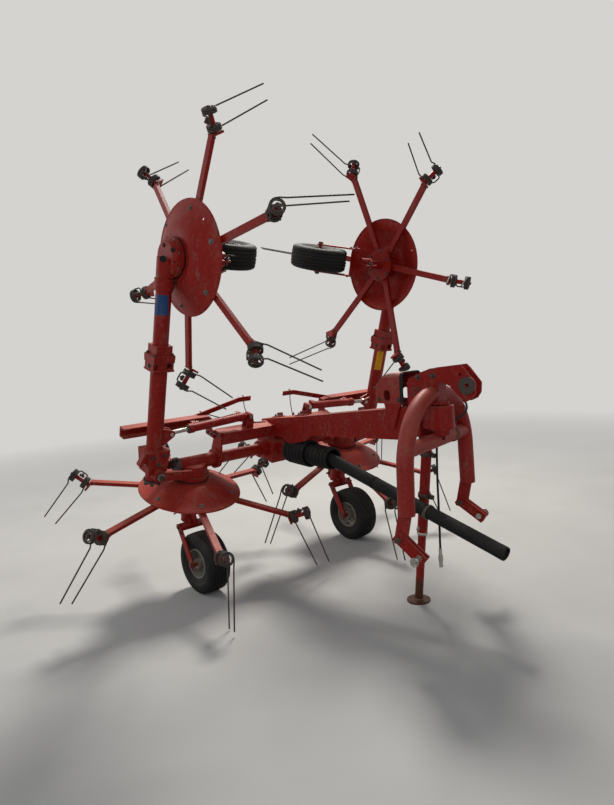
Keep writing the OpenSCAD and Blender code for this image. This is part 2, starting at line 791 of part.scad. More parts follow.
module link_brackets() {
  inner_x = link_lug_x - lug_plate / 2 - seat - link_plate / 2;
  outer_t = link_plate - neck_len;
  outer_x0 = link_shoulder_x - neck_len - outer_t / 2;
  color(red) headstock() for (s = [-1, 1]) link_side(s) difference() {
    union() {
      strap(inner_x, link_plate, 62, [pivot_y, pivot_z], [pin_y, pin_z]);
      strap(outer_x0, outer_t, 62, [pivot_y, pivot_z], [pin_y, pin_z]);
    }
    translate([0, pivot_y, pivot_z]) rod_x(pivot_r, 300, 500);
    translate([0, pin_y, pin_z]) rod_x(link_core_r, 300, 500);
  }
}

module link_pins() {
  color(steel) headstock() for (s = [-1, 1]) link_side(s) {
    translate([0, pivot_y, pivot_z]) rod_x(pivot_r, link_lug_x - 34, link_shoulder_x + 14);
    translate([0, pin_y, pin_z]) {
      rod_x(link_core_r, link_lug_x - 34, link_shoulder_x - neck_len);
      rod_x(neck_r, link_shoulder_x - 5, link_shoulder_x + 5);
      rod_x(link_pin_r, link_shoulder_x, link_shoulder_x + link_pin_len);
    }
  }
}

// Block that joins the swing pin to the arch, with the hose's gland low on its left
module swing_head() {
  block_y = [-13, 175];
  block_half = 50;
  block_low = cross_z + eye_top + clear + 1;
  bend_drop = arch_bend - sqrt(arch_bend * arch_bend - (block_half - bend_x) * (block_half - bend_x));
  color(red) headstock() {
    translate([0, 0, cross_z + 20]) cylinder(r = swing_pin_r, h = eye_top - 12);
    difference() {
      union() {
        translate([0, 0, cross_z + 30]) cylinder(r = 46, h = eye_low - 30 - seat);
        translate([0, 0, cross_z + eye_top + clear]) cylinder(r = 46, h = 14);
        translate([-block_half, block_y[0], block_low])
          cube([2 * block_half, block_y[1] - block_y[0], block_top - block_low]);
        translate([0, 0, hose_exit[2]]) rod_x(gland_r, 30, hose_exit[0]);
      }
      arch_plane() translate([0, 0, bend_z + arch_bend]) rod_x(arch_r + seat + bend_drop, -60, 60);
      cross_tube(cross_r + seat);
    }
  }
}

// Cranked arm to the top link: two side plates, a filler and a disc on the near plate
module top_link_arm() {
  // Outline columns: y, height
  nose = [[-76, 1316], [-108, 1278], [-160, 1230], [-196, 1246], [-216, 1276], [-220, 1328], [-160, 1408],
    [-140, 1428]];
  back = [[-52, 1420], [35, 1412], [96, 1391], [168, 1358], [168, block_top + seat], [-13, block_top + seat],
    [-37, 1332]];
  filler = [[-76, 1326], [-76, 1408], [-52, 1411], [33, 1403], [93, 1382], [160, 1352],
    [160, block_top + seat], [-13, block_top + seat], [-37, 1336]];
  color(red) headstock() difference() {
    union() {
      for (s = [-1, 1]) translate([s * arm_plate_x - arm_plate_t / 2, 0, 0]) rotate([90, 0, 90])
        linear_extrude(height = arm_plate_t) polygon(concat(nose, back));
      translate([1 - arm_plate_x, 0, 0]) rotate([90, 0, 90])
        linear_extrude(height = 2 * arm_plate_x - 2) polygon(filler);
      translate([0, top_link_y, top_link_z]) rod_x(47, -arm_plate_x - arm_plate_t / 2 - 12, -arm_plate_x);
    }
    translate([0, top_link_y, top_link_z]) rod_x(top_bore_r, -90, 90);
    translate([0, -135, 1376]) rod_x(9, -90, 90);
  }
}

// Tube swept along points: a smooth curve through them, rings kept square to it without twist
function curve_at(p, i, t) = let (a = p[max(i - 1, 0)], b = p[i], c = p[i + 1], d = p[min(i + 2, len(p) - 1)])
  0.5 * (2 * b + (c - a) * t + (2 * a - 5 * b + 4 * c - d) * t * t + (3 * b - a - 3 * c + d) * t * t * t);
function curve(p, n) = concat([for (i = [0:len(p) - 2], j = [0:n - 1]) curve_at(p, i, j / n)], [p[len(p) - 1]]);
function unit(v) = v / norm(v);
function heading(c, i) = unit(c[min(i + 1, len(c) - 1)] - c[max(i - 1, 0)]);
function square_to(v, h) = unit(v - (v * h) * h);
function sides(c, first, i = 0, found = []) = i == len(c) ? found :
  sides(c, first, i + 1, concat(found, [square_to(i == 0 ? first : found[i - 1], heading(c, i))]));

module tube(r, points, n, first) {
  k = 10;
  c = curve(points, n);
  u = sides(c, first);
  last = len(c) - 1;
  ring = [for (i = [0:last], j = [0:k - 1])
    c[i] + r * (cos(j * 360 / k) * u[i] + sin(j * 360 / k) * cross(heading(c, i), u[i]))];
  polyhedron(ring, concat([[for (j = [0:k - 1]) j], [for (j = [k - 1:-1:0]) last * k + j]],
    [for (i = [0:last - 1], j = [0:k - 1])
      [i * k + j, (i + 1) * k + j, (i + 1) * k + (j + 1) % k, i * k + (j + 1) % k]]), 4);
}

// Hose from the swing head round the arch's left leg, then down to its coupler
module hose_long() {
  color(dark) headstock() tube(hose_r, hose_route, 2, [0, 0, 1]);
}

module hose_coupler() {
  tip = hose_route[len(hose_route) - 1];
  color(steel) headstock() translate(tip - [0, 0, 112]) {
    translate([0, 0, 66]) cylinder(r = hose_r + 3, h = 46);
    translate([0, 0, 34]) cylinder(r = 14, h = 36, $fn = 6);
    cylinder(r = 11, h = 40);
  }
}

// Pressure hose along each fold cylinder, between its two fittings
module hose_barrel(side) {
  ends = [hose_ends[0] + 14, hose_ends[1] - 14];
  span = ends[1] - ends[0];
  cylinder_frame(side) color(dark) tube(6, concat(
    [for (x = [0, 6, 12]) [ends[0] + x, 38, 14]],
    [for (t = [0.09:0.1:0.92]) [ends[0] + span * t, 38 + 9 * sin(180 * t), 14 - 11 * sin(180 * t)]],
    [for (x = [12, 6, 0]) [ends[1] - x, 38, 14]]), 2, [0, 1, 0]);
}

// Parking stand
module stand_line() {
  translate([stand_x, -stand_y, 0]) rotate([stand_lean, 0, 0]) children();
}

module stand_sleeve() {
  hook_y = -1362;
  hook_x = -52.5;
  hook_z = 572;
  top = (nose_low - 40) / cos(stand_lean);
  block_y = (nose_low - 25) * tan(stand_lean) + stand_y;
  color(red) difference() {
    union() {
      stand_line() translate([0, 0, 430]) cylinder(r = stand_r + stand_wall + 1, h = top - 430 + 20);
      box([84, 60, 50], [stand_x, -block_y, nose_low - 25 - seat]);
      // Hook that holds the parked drive shaft
      bar(6, [stand_x - 22, hook_y, hook_z], [hook_x, hook_y, hook_z]);
      translate([hook_x, hook_y, hook_z]) sphere(r = 6.3);
      bar(6, [hook_x, hook_y, hook_z], [hook_x, hook_y, hook_z + 70]);
    }
    stand_line() translate([0, 0, 420]) cylinder(r = stand_r + run_gap, h = top - 420);
  }
}

module stand_leg() {
  color(rust) {
    stand_line() translate([0, 0, 12]) cylinder(r = stand_r, h = 700);
    translate([stand_x, -stand_y, 0]) cylinder(r = foot_r, h = 10);
  }
}

placed() cross_beam();
placed() center_boom();
placed() centre_gearbox();
placed() pto_guard();
placed() rear_rails();
placed() stand_sleeve();
placed() fold_pins();
placed() clutch_frame();
placed() gear_pot(-1);  // gear_pot_right
placed() gear_pot(1);  // gear_pot_left
placed() inner_frame(-1) wheel_leg();  // wheel_leg_inner_right
placed() inner_frame(1) wheel_leg();  // wheel_leg_inner_left
placed() inner_frame(-1) disc(phase_inner_right);  // disc_inner_right
placed() inner_frame(1) disc(phase_inner_left);  // disc_inner_left
placed() inner_frame(-1) arms(phase_inner_right);  // arms_inner_right
placed() inner_frame(1) arms(phase_inner_left);  // arms_inner_left
placed() inner_frame(-1) tines(phase_inner_right);  // tines_inner_right
placed() inner_frame(1) tines(phase_inner_left);  // tines_inner_left
placed() boom_socket(-1);  // boom_socket_right
placed() boom_socket(1);  // boom_socket_left
placed() boom_tube(-1);  // boom_tube_right
placed() boom_tube(1);  // boom_tube_left
placed() boom_clutch(-1);  // boom_clutch_right
placed() boom_clutch(1);  // boom_clutch_left
placed() neck(-1);  // neck_right
placed() neck(1);  // neck_left
placed() outer_frame(-1) wheel_leg();  // wheel_leg_outer_right
placed() outer_frame(1) wheel_leg();  // wheel_leg_outer_left
placed() outer_frame(-1) disc(phase_outer_right);  // disc_outer_right
placed() outer_frame(1) disc(phase_outer_left);  // disc_outer_left
placed() outer_frame(-1) arms(phase_outer_right);  // arms_outer_right
placed() outer_frame(1) arms(phase_outer_left);  // arms_outer_left
placed() outer_frame(-1) tines(phase_outer_right);  // tines_outer_right
placed() outer_frame(1) tines(phase_outer_left);  // tines_outer_left
placed() inner_frame(-1) tyre();  // tyre_inner_right
placed() inner_frame(1) tyre();  // tyre_inner_left
placed() outer_frame(-1) tyre();  // tyre_outer_right
placed() outer_frame(1) tyre();  // tyre_outer_left
placed() inner_frame(-1) rim();  // rim_inner_right
placed() inner_frame(1) rim();  // rim_inner_left
placed() outer_frame(-1) rim();  // rim_outer_right
placed() outer_frame(1) rim();  // rim_outer_left
placed() headstock_arch();
placed() link_brackets();
placed() link_pins();
placed() swing_head();
placed() top_link_arm();
placed() stand_leg();
placed() barrel(-1);  // barrel_right
placed() barrel(1);  // barrel_left
placed() rod(-1);  // rod_right
placed() rod(1);  // rod_left
placed() pto_shaft();
placed() cylinder_pins();
placed() head_cover();
placed() hose_long();
placed() hose_coupler();
placed() hose_barrel(-1);  // hose_barrel_right
placed() hose_barrel(1);  // hose_barrel_left
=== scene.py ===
import json
import random
from math import atan2, cos, degrees, pi, radians, sin, sqrt, tan

import bmesh
import bpy
from mathutils import Matrix, Vector
from mathutils.bvhtree import BVHTree

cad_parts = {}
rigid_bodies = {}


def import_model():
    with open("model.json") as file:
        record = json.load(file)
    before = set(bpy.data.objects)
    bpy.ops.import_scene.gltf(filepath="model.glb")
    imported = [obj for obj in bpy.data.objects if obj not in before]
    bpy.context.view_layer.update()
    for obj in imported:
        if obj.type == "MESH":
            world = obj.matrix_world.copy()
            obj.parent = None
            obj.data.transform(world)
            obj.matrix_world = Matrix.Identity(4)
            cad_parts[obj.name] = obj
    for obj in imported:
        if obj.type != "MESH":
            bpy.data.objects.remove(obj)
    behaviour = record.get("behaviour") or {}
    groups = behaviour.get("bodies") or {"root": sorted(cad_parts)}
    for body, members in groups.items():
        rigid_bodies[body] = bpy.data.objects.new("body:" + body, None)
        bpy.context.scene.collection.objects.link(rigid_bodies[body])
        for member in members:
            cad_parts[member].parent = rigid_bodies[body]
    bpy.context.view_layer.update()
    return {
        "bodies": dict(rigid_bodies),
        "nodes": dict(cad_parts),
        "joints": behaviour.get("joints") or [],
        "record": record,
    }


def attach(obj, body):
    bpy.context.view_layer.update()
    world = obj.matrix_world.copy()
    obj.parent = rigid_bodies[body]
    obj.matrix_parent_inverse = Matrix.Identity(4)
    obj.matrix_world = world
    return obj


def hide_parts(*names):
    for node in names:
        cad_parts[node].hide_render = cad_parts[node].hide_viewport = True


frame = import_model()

nodes = frame["nodes"]
SIDES = {"right": -1, "left": 1}

# Camera and light, in metres. The photograph's own size and focal length are in pixels.

PHOTO_W = 614
PHOTO_H = 805
FOCAL_PX = 637.7
SENSOR_MM = 36.0
CAMERA_AT = Vector((-2.823, -3.231, 1.624))
CAMERA_AHEAD = Vector((0.654, 0.7496, -0.1015))
CAMERA_ROLL = radians(3.84)
LAMPS_AIM = (0.0, 0.0, 1.2)
SKY = (0.80, 0.84, 0.90, 1)
SKY_STRENGTH = 0.27
BACKGROUND = (0.66, 0.65, 0.63, 1)


def add_object(name, data):
    """Makes an object of the data and puts it in the scene."""
    made = bpy.data.objects.new(name, data)
    bpy.context.scene.collection.objects.link(made)
    return made


def make_camera():
    """The photograph's viewpoint, fitted together with the machine's sizes."""
    data = bpy.data.cameras.new("camera")
    camera = add_object("camera", data)
    ahead = CAMERA_AHEAD.normalized()
    right = ahead.cross(Vector((0, 0, 1))).normalized()
    up = right.cross(ahead)
    cam_right = cos(CAMERA_ROLL) * right - sin(CAMERA_ROLL) * up
    cam_up = sin(CAMERA_ROLL) * right + cos(CAMERA_ROLL) * up
    view = Matrix((cam_right, cam_up, -ahead)).transposed()
    camera.matrix_world = Matrix.Translation(CAMERA_AT) @ view.to_4x4()
    data.sensor_width = SENSOR_MM
    data.lens = SENSOR_MM * FOCAL_PX / PHOTO_H
    bpy.context.scene.camera = camera


def area_light(name, at, size, watts, tint):
    """A round lamp that looks at the machine's middle."""
    data = bpy.data.lights.new(name, "AREA")
    data.shape = "DISK"
    data.size = size
    data.energy = watts
    data.color = tint
    lamp = add_object(name, data)
    lamp.location = at
    lamp.rotation_euler = (Vector(LAMPS_AIM) - Vector(at)).to_track_quat("-Z", "Y").to_euler()


def preset(node, values):
    """Sets a node's inputs by their names."""
    for name, value in values.items():
        node.inputs[name].default_value = value


def seen_directly(tree):
    """1 for camera, glossy and transmission rays, 0 for the others."""
    path = tree.nodes.new("ShaderNodeLightPath")
    total = path.outputs["Is Camera Ray"]
    for kind in ("Is Glossy Ray", "Is Transmission Ray"):
        most = tree.nodes.new("ShaderNodeMath")
        most.operation = "MAXIMUM"
        tree.links.new(total, most.inputs[0])
        tree.links.new(path.outputs[kind], most.inputs[1])
        total = most.outputs[0]
    return total


def make_light():
    """Three lamps, a dim sky that lights, and a plain background that is seen and reflected."""
    area_light("key", at=(2.6, 2.2, 6.2), size=1.6, watts=450, tint=(1.0, 0.97, 0.92))
    area_light("fill", at=(-5.0, -4.5, 3.2), size=4.5, watts=85, tint=(0.94, 0.97, 1.0))
    area_light("side", at=(-3.5, 4.0, 3.0), size=4.0, watts=55, tint=(1.0, 1.0, 1.0))
    world = bpy.data.worlds.new("world")
    bpy.context.scene.world = world
    world.use_nodes = True
    tree = world.node_tree
    tree.nodes.clear()
    out = tree.nodes.new("ShaderNodeOutputWorld")
    dim = tree.nodes.new("ShaderNodeBackground")
    preset(dim, {"Color": SKY, "Strength": SKY_STRENGTH})
    shown = tree.nodes.new("ShaderNodeBackground")
    preset(shown, {"Color": BACKGROUND, "Strength": 1.0})
    mix = tree.nodes.new("ShaderNodeMixShader")
    tree.links.new(seen_directly(tree), mix.inputs["Fac"])
    tree.links.new(dim.outputs[0], mix.inputs[1])
    tree.links.new(shown.outputs[0], mix.inputs[2])
    tree.links.new(mix.outputs[0], out.inputs["Surface"])
    bpy.context.scene.view_settings.view_transform = "Standard"


# Frames and sizes of the CAD source.
# Below here numbers are millimetres and degrees, unless a comment says metres.

CARRIER_Y = 466
CARRIER_LIFT = 618
CARRIER_LEAN = 17.2
SWING_PIN_Y = -1104
SWING_AT_REST = 12
INNER_SHAFT_X = 695.5
OUTER_SHAFT_X = 770
OUTER_SHAFT_N = 1574
# A wheel's axle lies at (0, -WHEEL_V, -WHEEL_N) in its rotor's frame
WHEEL_V = 247
WHEEL_N = 359
# The fold pins' place, the heads' swivel plane, and the boom's line
FOLD_X = 980
DRIVE_N = 250
SWIVEL_N = 985
ARMS = 6
# Each rotor's first arm at rest
PHASES = {("inner", "right"): 46.2, ("inner", "left"): 19, ("outer", "right"): 2.4, ("outer", "left"): 28.5}


def turn(axis, angle):
    return Matrix.Rotation(radians(angle), 4, axis)


def shift(x, y, z):
    return Matrix.Translation((x, y, z))


def along_x(s, x=0, y=0, z=0):
    """A frame at a point whose Z runs along +X or -X, by the sign s, with x on that side."""
    return shift(s * x, y, z) @ turn("Y", 90 * s)


def along_y(s):
    """A frame whose Z runs along +Y or -Y, by the sign s."""
    return turn("X", -90 * s)


MM = Matrix.Scale(0.001, 4)
CARRIER = shift(0, CARRIER_Y / 1000, CARRIER_LIFT / 1000) @ turn("X", CARRIER_LEAN) @ MM
SWUNG = shift(0, SWING_PIN_Y / 1000, 0) @ turn("Z", SWING_AT_REST)
HEADSTOCK = SWUNG @ MM
PLACED = shift(0, CARRIER_Y / 1000, 0) @ MM


def carrier_side(side):
    """The carrier's frame with +X toward one side."""
    return CARRIER @ Matrix.Diagonal((SIDES[side], 1, 1, 1))


def rotor_frame(place, side):
    """A rotor's frame: its Z is the shaft, from the coils' plane toward the pot."""
    if place == "inner":
        return carrier_side(side) @ shift(INNER_SHAFT_X, 0, 0)
    return carrier_side(side) @ shift(OUTER_SHAFT_X, 0, OUTER_SHAFT_N) @ turn("Y", -90) @ turn("X", 180)


def fixed_body(place, side):
    """The body that carries a rotor's pot and its wheel's leg."""
    return "frame" if place == "inner" else f"head_{side}"


# Shapes


def angles(count):
    """Angles of a full turn in equal steps, in radians."""
    return [2 * pi * i / count for i in range(count)]


def circle(r, count, z=0):
    """Points round the Z axis."""
    return [(r * cos(t), r * sin(t), z) for t in angles(count)]


class Shape:
    """Points and faces in a frame, made into one piece at the end."""

    def __init__(self, frame):
        self.frame = frame
        self.points = []
        self.faces = []

    def skin(self, rings, closed=False, frame=None):
        """Joins rings of equal length; an open run gets end caps."""
        place = self.frame if frame is None else self.frame @ frame
        size = len(rings[0])
        first = len(self.points)
        for ring in rings:
            self.points.extend(place @ Vector(p) for p in ring)
        for i in range(len(rings) - (0 if closed else 1)):
            a = first + i * size
            b = first + (i + 1) % len(rings) * size
            self.faces.extend((a + j, b + j, b + (j + 1) % size, a + (j + 1) % size) for j in range(size))
        if not closed:
            last = first + (len(rings) - 1) * size
            self.faces.append(tuple(range(first, first + size)))
            self.faces.append(tuple(range(last, last + size)))
        return self

    def tube(self, path, r, sides=8, closed=False, frame=None):
        """r is a number, or a function of the share of the way along."""
        path = [Vector(p) for p in path]
        count = len(path)
        rings = []
        side = None
        for i, p in enumerate(path):
            before = path[(i - 1) % count] if closed else path[max(i - 1, 0)]
            after = path[(i + 1) % count] if closed else path[min(i + 1, count - 1)]
            ahead = (after - before).normalized()
            if side is None:
                side = ahead.orthogonal()
            side = (side - side.dot(ahead) * ahead).normalized()
            other = ahead.cross(side)
            size = r(i / (count - 1)) if callable(r) else r
            rings.append([p + size * (cos(t) * side + sin(t) * other) for t in angles(sides)])
        return self.skin(rings, closed, frame)

    def lathe(self, outline, frame=None, steps=32):
        """A closed outline of (radius, height), turned about the frame's Z."""
        rings = [[(r * cos(t), r * sin(t), h) for r, h in outline] for t in angles(steps)]
        return self.skin(rings, True, frame)

    def plate(self, outline, low, high, frame=None):
        """A flat outline of (x, y), from low to high along the frame's Z."""
        return self.skin([[(x, y, h) for x, y in outline] for h in (low, high)], False, frame)

    def block(self, size, at, frame=None):
        """A small box, for a plate seen from its edge."""
        (a, b, c), (x, y, z) = [v / 2 for v in size], at
        corners = [(x - a, y - b), (x + a, y - b), (x + a, y + b), (x - a, y + b)]
        return self.plate(corners, z - c, z + c, frame)

    def bolt(self, frame, r=9, head=7, washer=0.0, thread=0.0):
        """A hexagon head along the frame's Z; washer is a radius, thread the length of the end that shows."""
        low = 0
        if washer:
            low = 2.4
            self.lathe([(0, -1), (washer, -1), (washer, low - 0.8), (washer - 1, low), (0, low)], frame, 20)
        corners = [radians(60 * j) for j in range(6)]
        self.skin([[(k * r * cos(t), k * r * sin(t), low + h) for t in corners]
                   for k, h in ((1, -1), (1, 0.8 * head), (0.86, head))], False, frame)
        if thread:
            high = low + head + thread
            end = [(0, low), (0.52 * r, low), (0.52 * r, high - 1), (0.42 * r, high), (0, high)]
            self.lathe(end, frame, 12)
        return self


# Points nearer than this are one, in metres
WELD = 1e-6


def piece(name, shape, finish, body, replaces=(), smooth=38, bevel=0.0):
    """Makes a shape into one piece that rides on a body; bevel is in metres."""
    mesh = bpy.data.meshes.new(name)
    mesh.from_pydata(shape.points, [], shape.faces)
    work = bmesh.new()
    work.from_mesh(mesh)
    bmesh.ops.remove_doubles(work, verts=work.verts, dist=WELD)
    bmesh.ops.dissolve_degenerate(work, dist=WELD, edges=work.edges)
    bmesh.ops.recalc_face_normals(work, faces=work.faces)
    work.to_mesh(mesh)
    work.free()
    for face in mesh.polygons:
        face.use_smooth = True
    mesh.set_sharp_from_angle(angle=radians(smooth))
    mesh.materials.append(mats[finish])
    made = add_object(name, mesh)
    if bevel:
        edge = made.modifiers.new("edge", "BEVEL")
        edge.width = bevel
        edge.segments = 2
        edge.limit_method = "ANGLE"
        edge.angle_limit = radians(40)
    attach(made, body)
    if replaces:
        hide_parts(*replaces)
    return made


def smooth_path(points, steps=4):
    """The source's curve through the points, a Catmull-Rom spline."""
    points = [Vector(p) for p in points]
    path = []
    for i in range(len(points) - 1):
        a, b, c = points[max(i - 1, 0)], points[i], points[i + 1]
        d = points[min(i + 2, len(points) - 1)]
        for k in range(steps):
            t = k / steps
            path.append(0.5 * (2 * b + (c - a) * t + (2 * a - 5 * b + 4 * c - d) * t * t
                               + (3 * b - a - 3 * c + d) * t ** 3))
    return path + [points[-1]]


def sight(px, py):
    """The camera's ray through a pixel of the photograph's frame."""
    turned = bpy.context.scene.camera.matrix_world.to_3x3()
    ray = Vector(((px - PHOTO_W / 2) / FOCAL_PX, (PHOTO_H / 2 - py) / FOCAL_PX, -1))
    return (turned @ ray).normalized()


TREES = {}


def seen(px, py, node):
    """Where the ray through a pixel meets a CAD node: point and normal, in metres."""
    if node not in TREES:
        mesh = nodes[node].data
        corners = [v.co for v in mesh.vertices]
        TREES[node] = BVHTree.FromPolygons(corners, [tuple(f.vertices) for f in mesh.polygons])
    ray = sight(px, py)
    point, normal, _, _ = TREES[node].ray_cast(CAMERA_AT, ray)
    if point is None:
        raise ValueError(f"no {node} at {px}, {py}")
    return point, -normal if normal.dot(ray) > 0 else normal


def seat_at(px, py, node):
    """A millimetre frame on a node's surface, its Z along the normal."""
    point, normal = seen(px, py, node)
    return Matrix.Translation(point) @ normal.to_track_quat("Z", "Y").to_matrix().to_4x4() @ MM


# Materials


def colour_socket(sockets, name):
    """The colour socket of that name on a mix node, which has one per data type."""
    return next(s for s in sockets if s.name == name and s.type == "RGBA")


class Nodes:
    """A material under construction, with short ways to add and join nodes."""

    def __init__(self, name):
        self.material = bpy.data.materials.new(name)
        self.material.use_nodes = True
        self.tree = self.material.node_tree
        self.tree.nodes.clear()
        self.shader = self.add("BsdfPrincipled")
        self.out = self.add("OutputMaterial")
        self.join(self.shader.outputs["BSDF"], self.out.inputs["Surface"])
        self.place = self.add("TexCoord").outputs["Object"]

    def add(self, kind, **values):
        node = self.tree.nodes.new("ShaderNode" + kind)
        for key, value in values.items():
            setattr(node, key, value)
        return node

    def join(self, a, b):
        self.tree.links.new(a, b)

    def noise(self, scale, detail=4.0, rough=0.6, stretch=None):
        node = self.add("TexNoise")
        preset(node, {"Scale": scale, "Detail": detail, "Roughness": rough})
        source = self.place
        if stretch:
            mapping = self.add("Mapping")
            preset(mapping, {"Scale": stretch})
            self.join(source, mapping.inputs["Vector"])
            source = mapping.outputs["Vector"]
        self.join(source, node.inputs["Vector"])
        return node.outputs["Fac"]

    def ramp(self, value, low, high, a=0.0, b=1.0):
        """value from low to high becomes a to b, clamped."""
        node = self.add("MapRange")
        preset(node, {"From Min": low, "From Max": high, "To Min": a, "To Max": b})
        self.join(value, node.inputs["Value"])
        return node.outputs["Result"]

    def calculate(self, operation, a, b):
        node = self.add("Math", operation=operation)
        for socket, value in zip(node.inputs, (a, b)):
            if isinstance(value, (int, float)):
                socket.default_value = value
            else:
                self.join(value, socket)
        return node.outputs[0]

    def times(self, a, b):
        return self.calculate("MULTIPLY", a, b)

    def mix(self, fac, a, b):
        """Colour a where fac is 0, colour b where it is 1; each is a tuple or a socket."""
        node = self.add("Mix", data_type="RGBA")
        self.join(fac, node.inputs["Factor"])
        for name, value in (("A", a), ("B", b)):
            colour = colour_socket(node.inputs, name)
            if isinstance(value, tuple):
                colour.default_value = (*value, 1)
            else:
                self.join(value, colour)
        return colour_socket(node.outputs, "Result")

    def axis(self, source, which):
        node = self.add("SeparateXYZ")
        self.join(source, node.inputs[0])
        return node.outputs[which]

    def facing_up(self):
        """How far the surface faces the sky, in the piece's own rest frame."""
        return self.axis(self.add("TexCoord").outputs["Normal"], "Z")

    def bump(self, height, strength, distance):
        node = self.add("Bump")
        preset(node, {"Strength": strength, "Distance": distance})
        self.join(height, node.inputs["Height"])
        self.join(node.outputs["Normal"], self.shader.inputs["Normal"])

    def edges(self, radius):
        """About 1 on sharp edges and corners, 0 on flats; the radius is in metres."""
        bevel = self.add("Bevel", samples=4)
        preset(bevel, {"Radius": radius})
        dot = self.add("VectorMath", operation="DOT_PRODUCT")
        self.join(bevel.outputs["Normal"], dot.inputs[0])
        self.join(self.add("NewGeometry").outputs["Normal"], dot.inputs[1])
        return self.ramp(dot.outputs["Value"], 0.97, 0.80)

    def finish(self, colour, rough, metal=None):
        self.join(colour, self.shader.inputs["Base Color"])
        if isinstance(rough, float):
            preset(self.shader, {"Roughness": rough})
        else:
            self.join(rough, self.shader.inputs["Roughness"])
        if metal is not None:
            self.join(metal, self.shader.inputs["Metallic"])
        return self.material


RUST = (0.105, 0.038, 0.018)
DUST = (0.33, 0.27, 0.20)
RUST_SPAN = 0.08
CHIP_WIDTH = 0.004
FOOT_RUST_HEIGHT = (0.14, 0.19)


def scaled(colour, share):
    return tuple(share * c for c in colour)


def paint(name, base, faded_and_sunlit, fade_and_sunlight_from, grime=0.5, foot_rust=False):
    """Old machine paint: paler where it faces up, partly from fading and partly as painted sunlight, rusty at
    edges and in spots, with dusty streaks.
    """
    m = Nodes(name)
    broad = m.noise(3.1, detail=5)
    fine = m.noise(46, detail=6, rough=0.7)
    speck = m.noise(160, detail=3, rough=0.7)
    streak = m.noise(7, detail=5, rough=0.65, stretch=(2.2, 2.2, 0.9))
    scratch = m.noise(30, detail=2, rough=0.5, stretch=(0.5, 3.4, 1.9))
    blotch = m.ramp(broad, 0.38, 0.68, 0.35, 1.0)
    # Paler toward upward faces: partly real fading, partly painted sunlight on the tops
    fade = m.times(m.ramp(m.facing_up(), fade_and_sunlight_from, 1.0), blotch)
    colour = m.mix(m.ramp(fine, 0.3, 0.75), scaled(base, 0.62), base)
    colour = m.mix(fade, colour, faded_and_sunlit)
    chips = m.times(m.edges(CHIP_WIDTH), m.ramp(fine, 0.46, 0.60))
    spots = m.ramp(m.times(speck, fine), 0.36, 0.42)
    worn = m.calculate("MAXIMUM", chips, m.times(spots, 0.8))
    colour = m.mix(worn, colour, RUST)
    dirt = m.times(m.ramp(m.times(streak, fine), 0.26, 0.46), grime)
    colour = m.mix(dirt, colour, scaled(DUST, 0.5))
    pale_line = m.times(m.ramp(scratch, 0.70, 0.72), m.ramp(broad, 0.5, 0.6))
    colour = m.mix(m.times(pale_line, 0.6), colour, faded_and_sunlit)
    if foot_rust:
        height = m.calculate("ADD", m.axis(m.place, "Z"), m.times(fine, 0.05))
        low, high = FOOT_RUST_HEIGHT
        colour = m.mix(m.ramp(height, high, low), colour, scaled(RUST, 0.8))
    rough = m.calculate("MAXIMUM", m.ramp(fine, 0.2, 0.8, 0.38, 0.62), m.times(worn, 0.85))
    preset(m.shader, {"Specular IOR Level": 0.18})
    m.bump(m.calculate("SUBTRACT", fine, m.times(worn, 0.7)), strength=0.22, distance=0.002)
    return m.finish(colour, rough)


def bare(name, base, rusty, rough, metal=0.85, rust_from=0.5, scale=38):
    """Steel or iron with rust or grease over it; rough is its lowest and highest roughness."""
    m = Nodes(name)
    fine = m.noise(scale, detail=6, rough=0.7)
    broad = m.noise(7)
    patches = m.calculate("ADD", m.times(broad, 0.5), m.times(fine, 0.5))
    rusted = m.ramp(patches, rust_from - RUST_SPAN, rust_from + RUST_SPAN)
    colour = m.mix(rusted, base, rusty)
    m.bump(fine, strength=0.25, distance=0.0015)
    return m.finish(colour, m.ramp(fine, 0.3, 0.7, *rough), m.ramp(rusted, 0.0, 1.0, metal, 0.05))


def rubber(name, base, dusty, amount, scale=60):
    """Rubber or moulded plastic with dust where it faces up."""
    m = Nodes(name)
    fine = m.noise(scale, detail=5, rough=0.7)
    up = m.calculate("ADD", m.ramp(m.facing_up(), -0.3, 1.0), 0.35)
    dust = m.times(m.ramp(m.times(m.noise(8), up), 0.25, 0.75), amount)
    colour = m.mix(m.ramp(fine, 0.3, 0.7), base, scaled(base, 1.6))
    colour = m.mix(dust, colour, dusty)
    preset(m.shader, {"Specular IOR Level": 0.2})
    m.bump(fine, strength=0.3, distance=0.001)
    return m.finish(colour, m.ramp(fine, 0.2, 0.8, 0.55, 0.9))


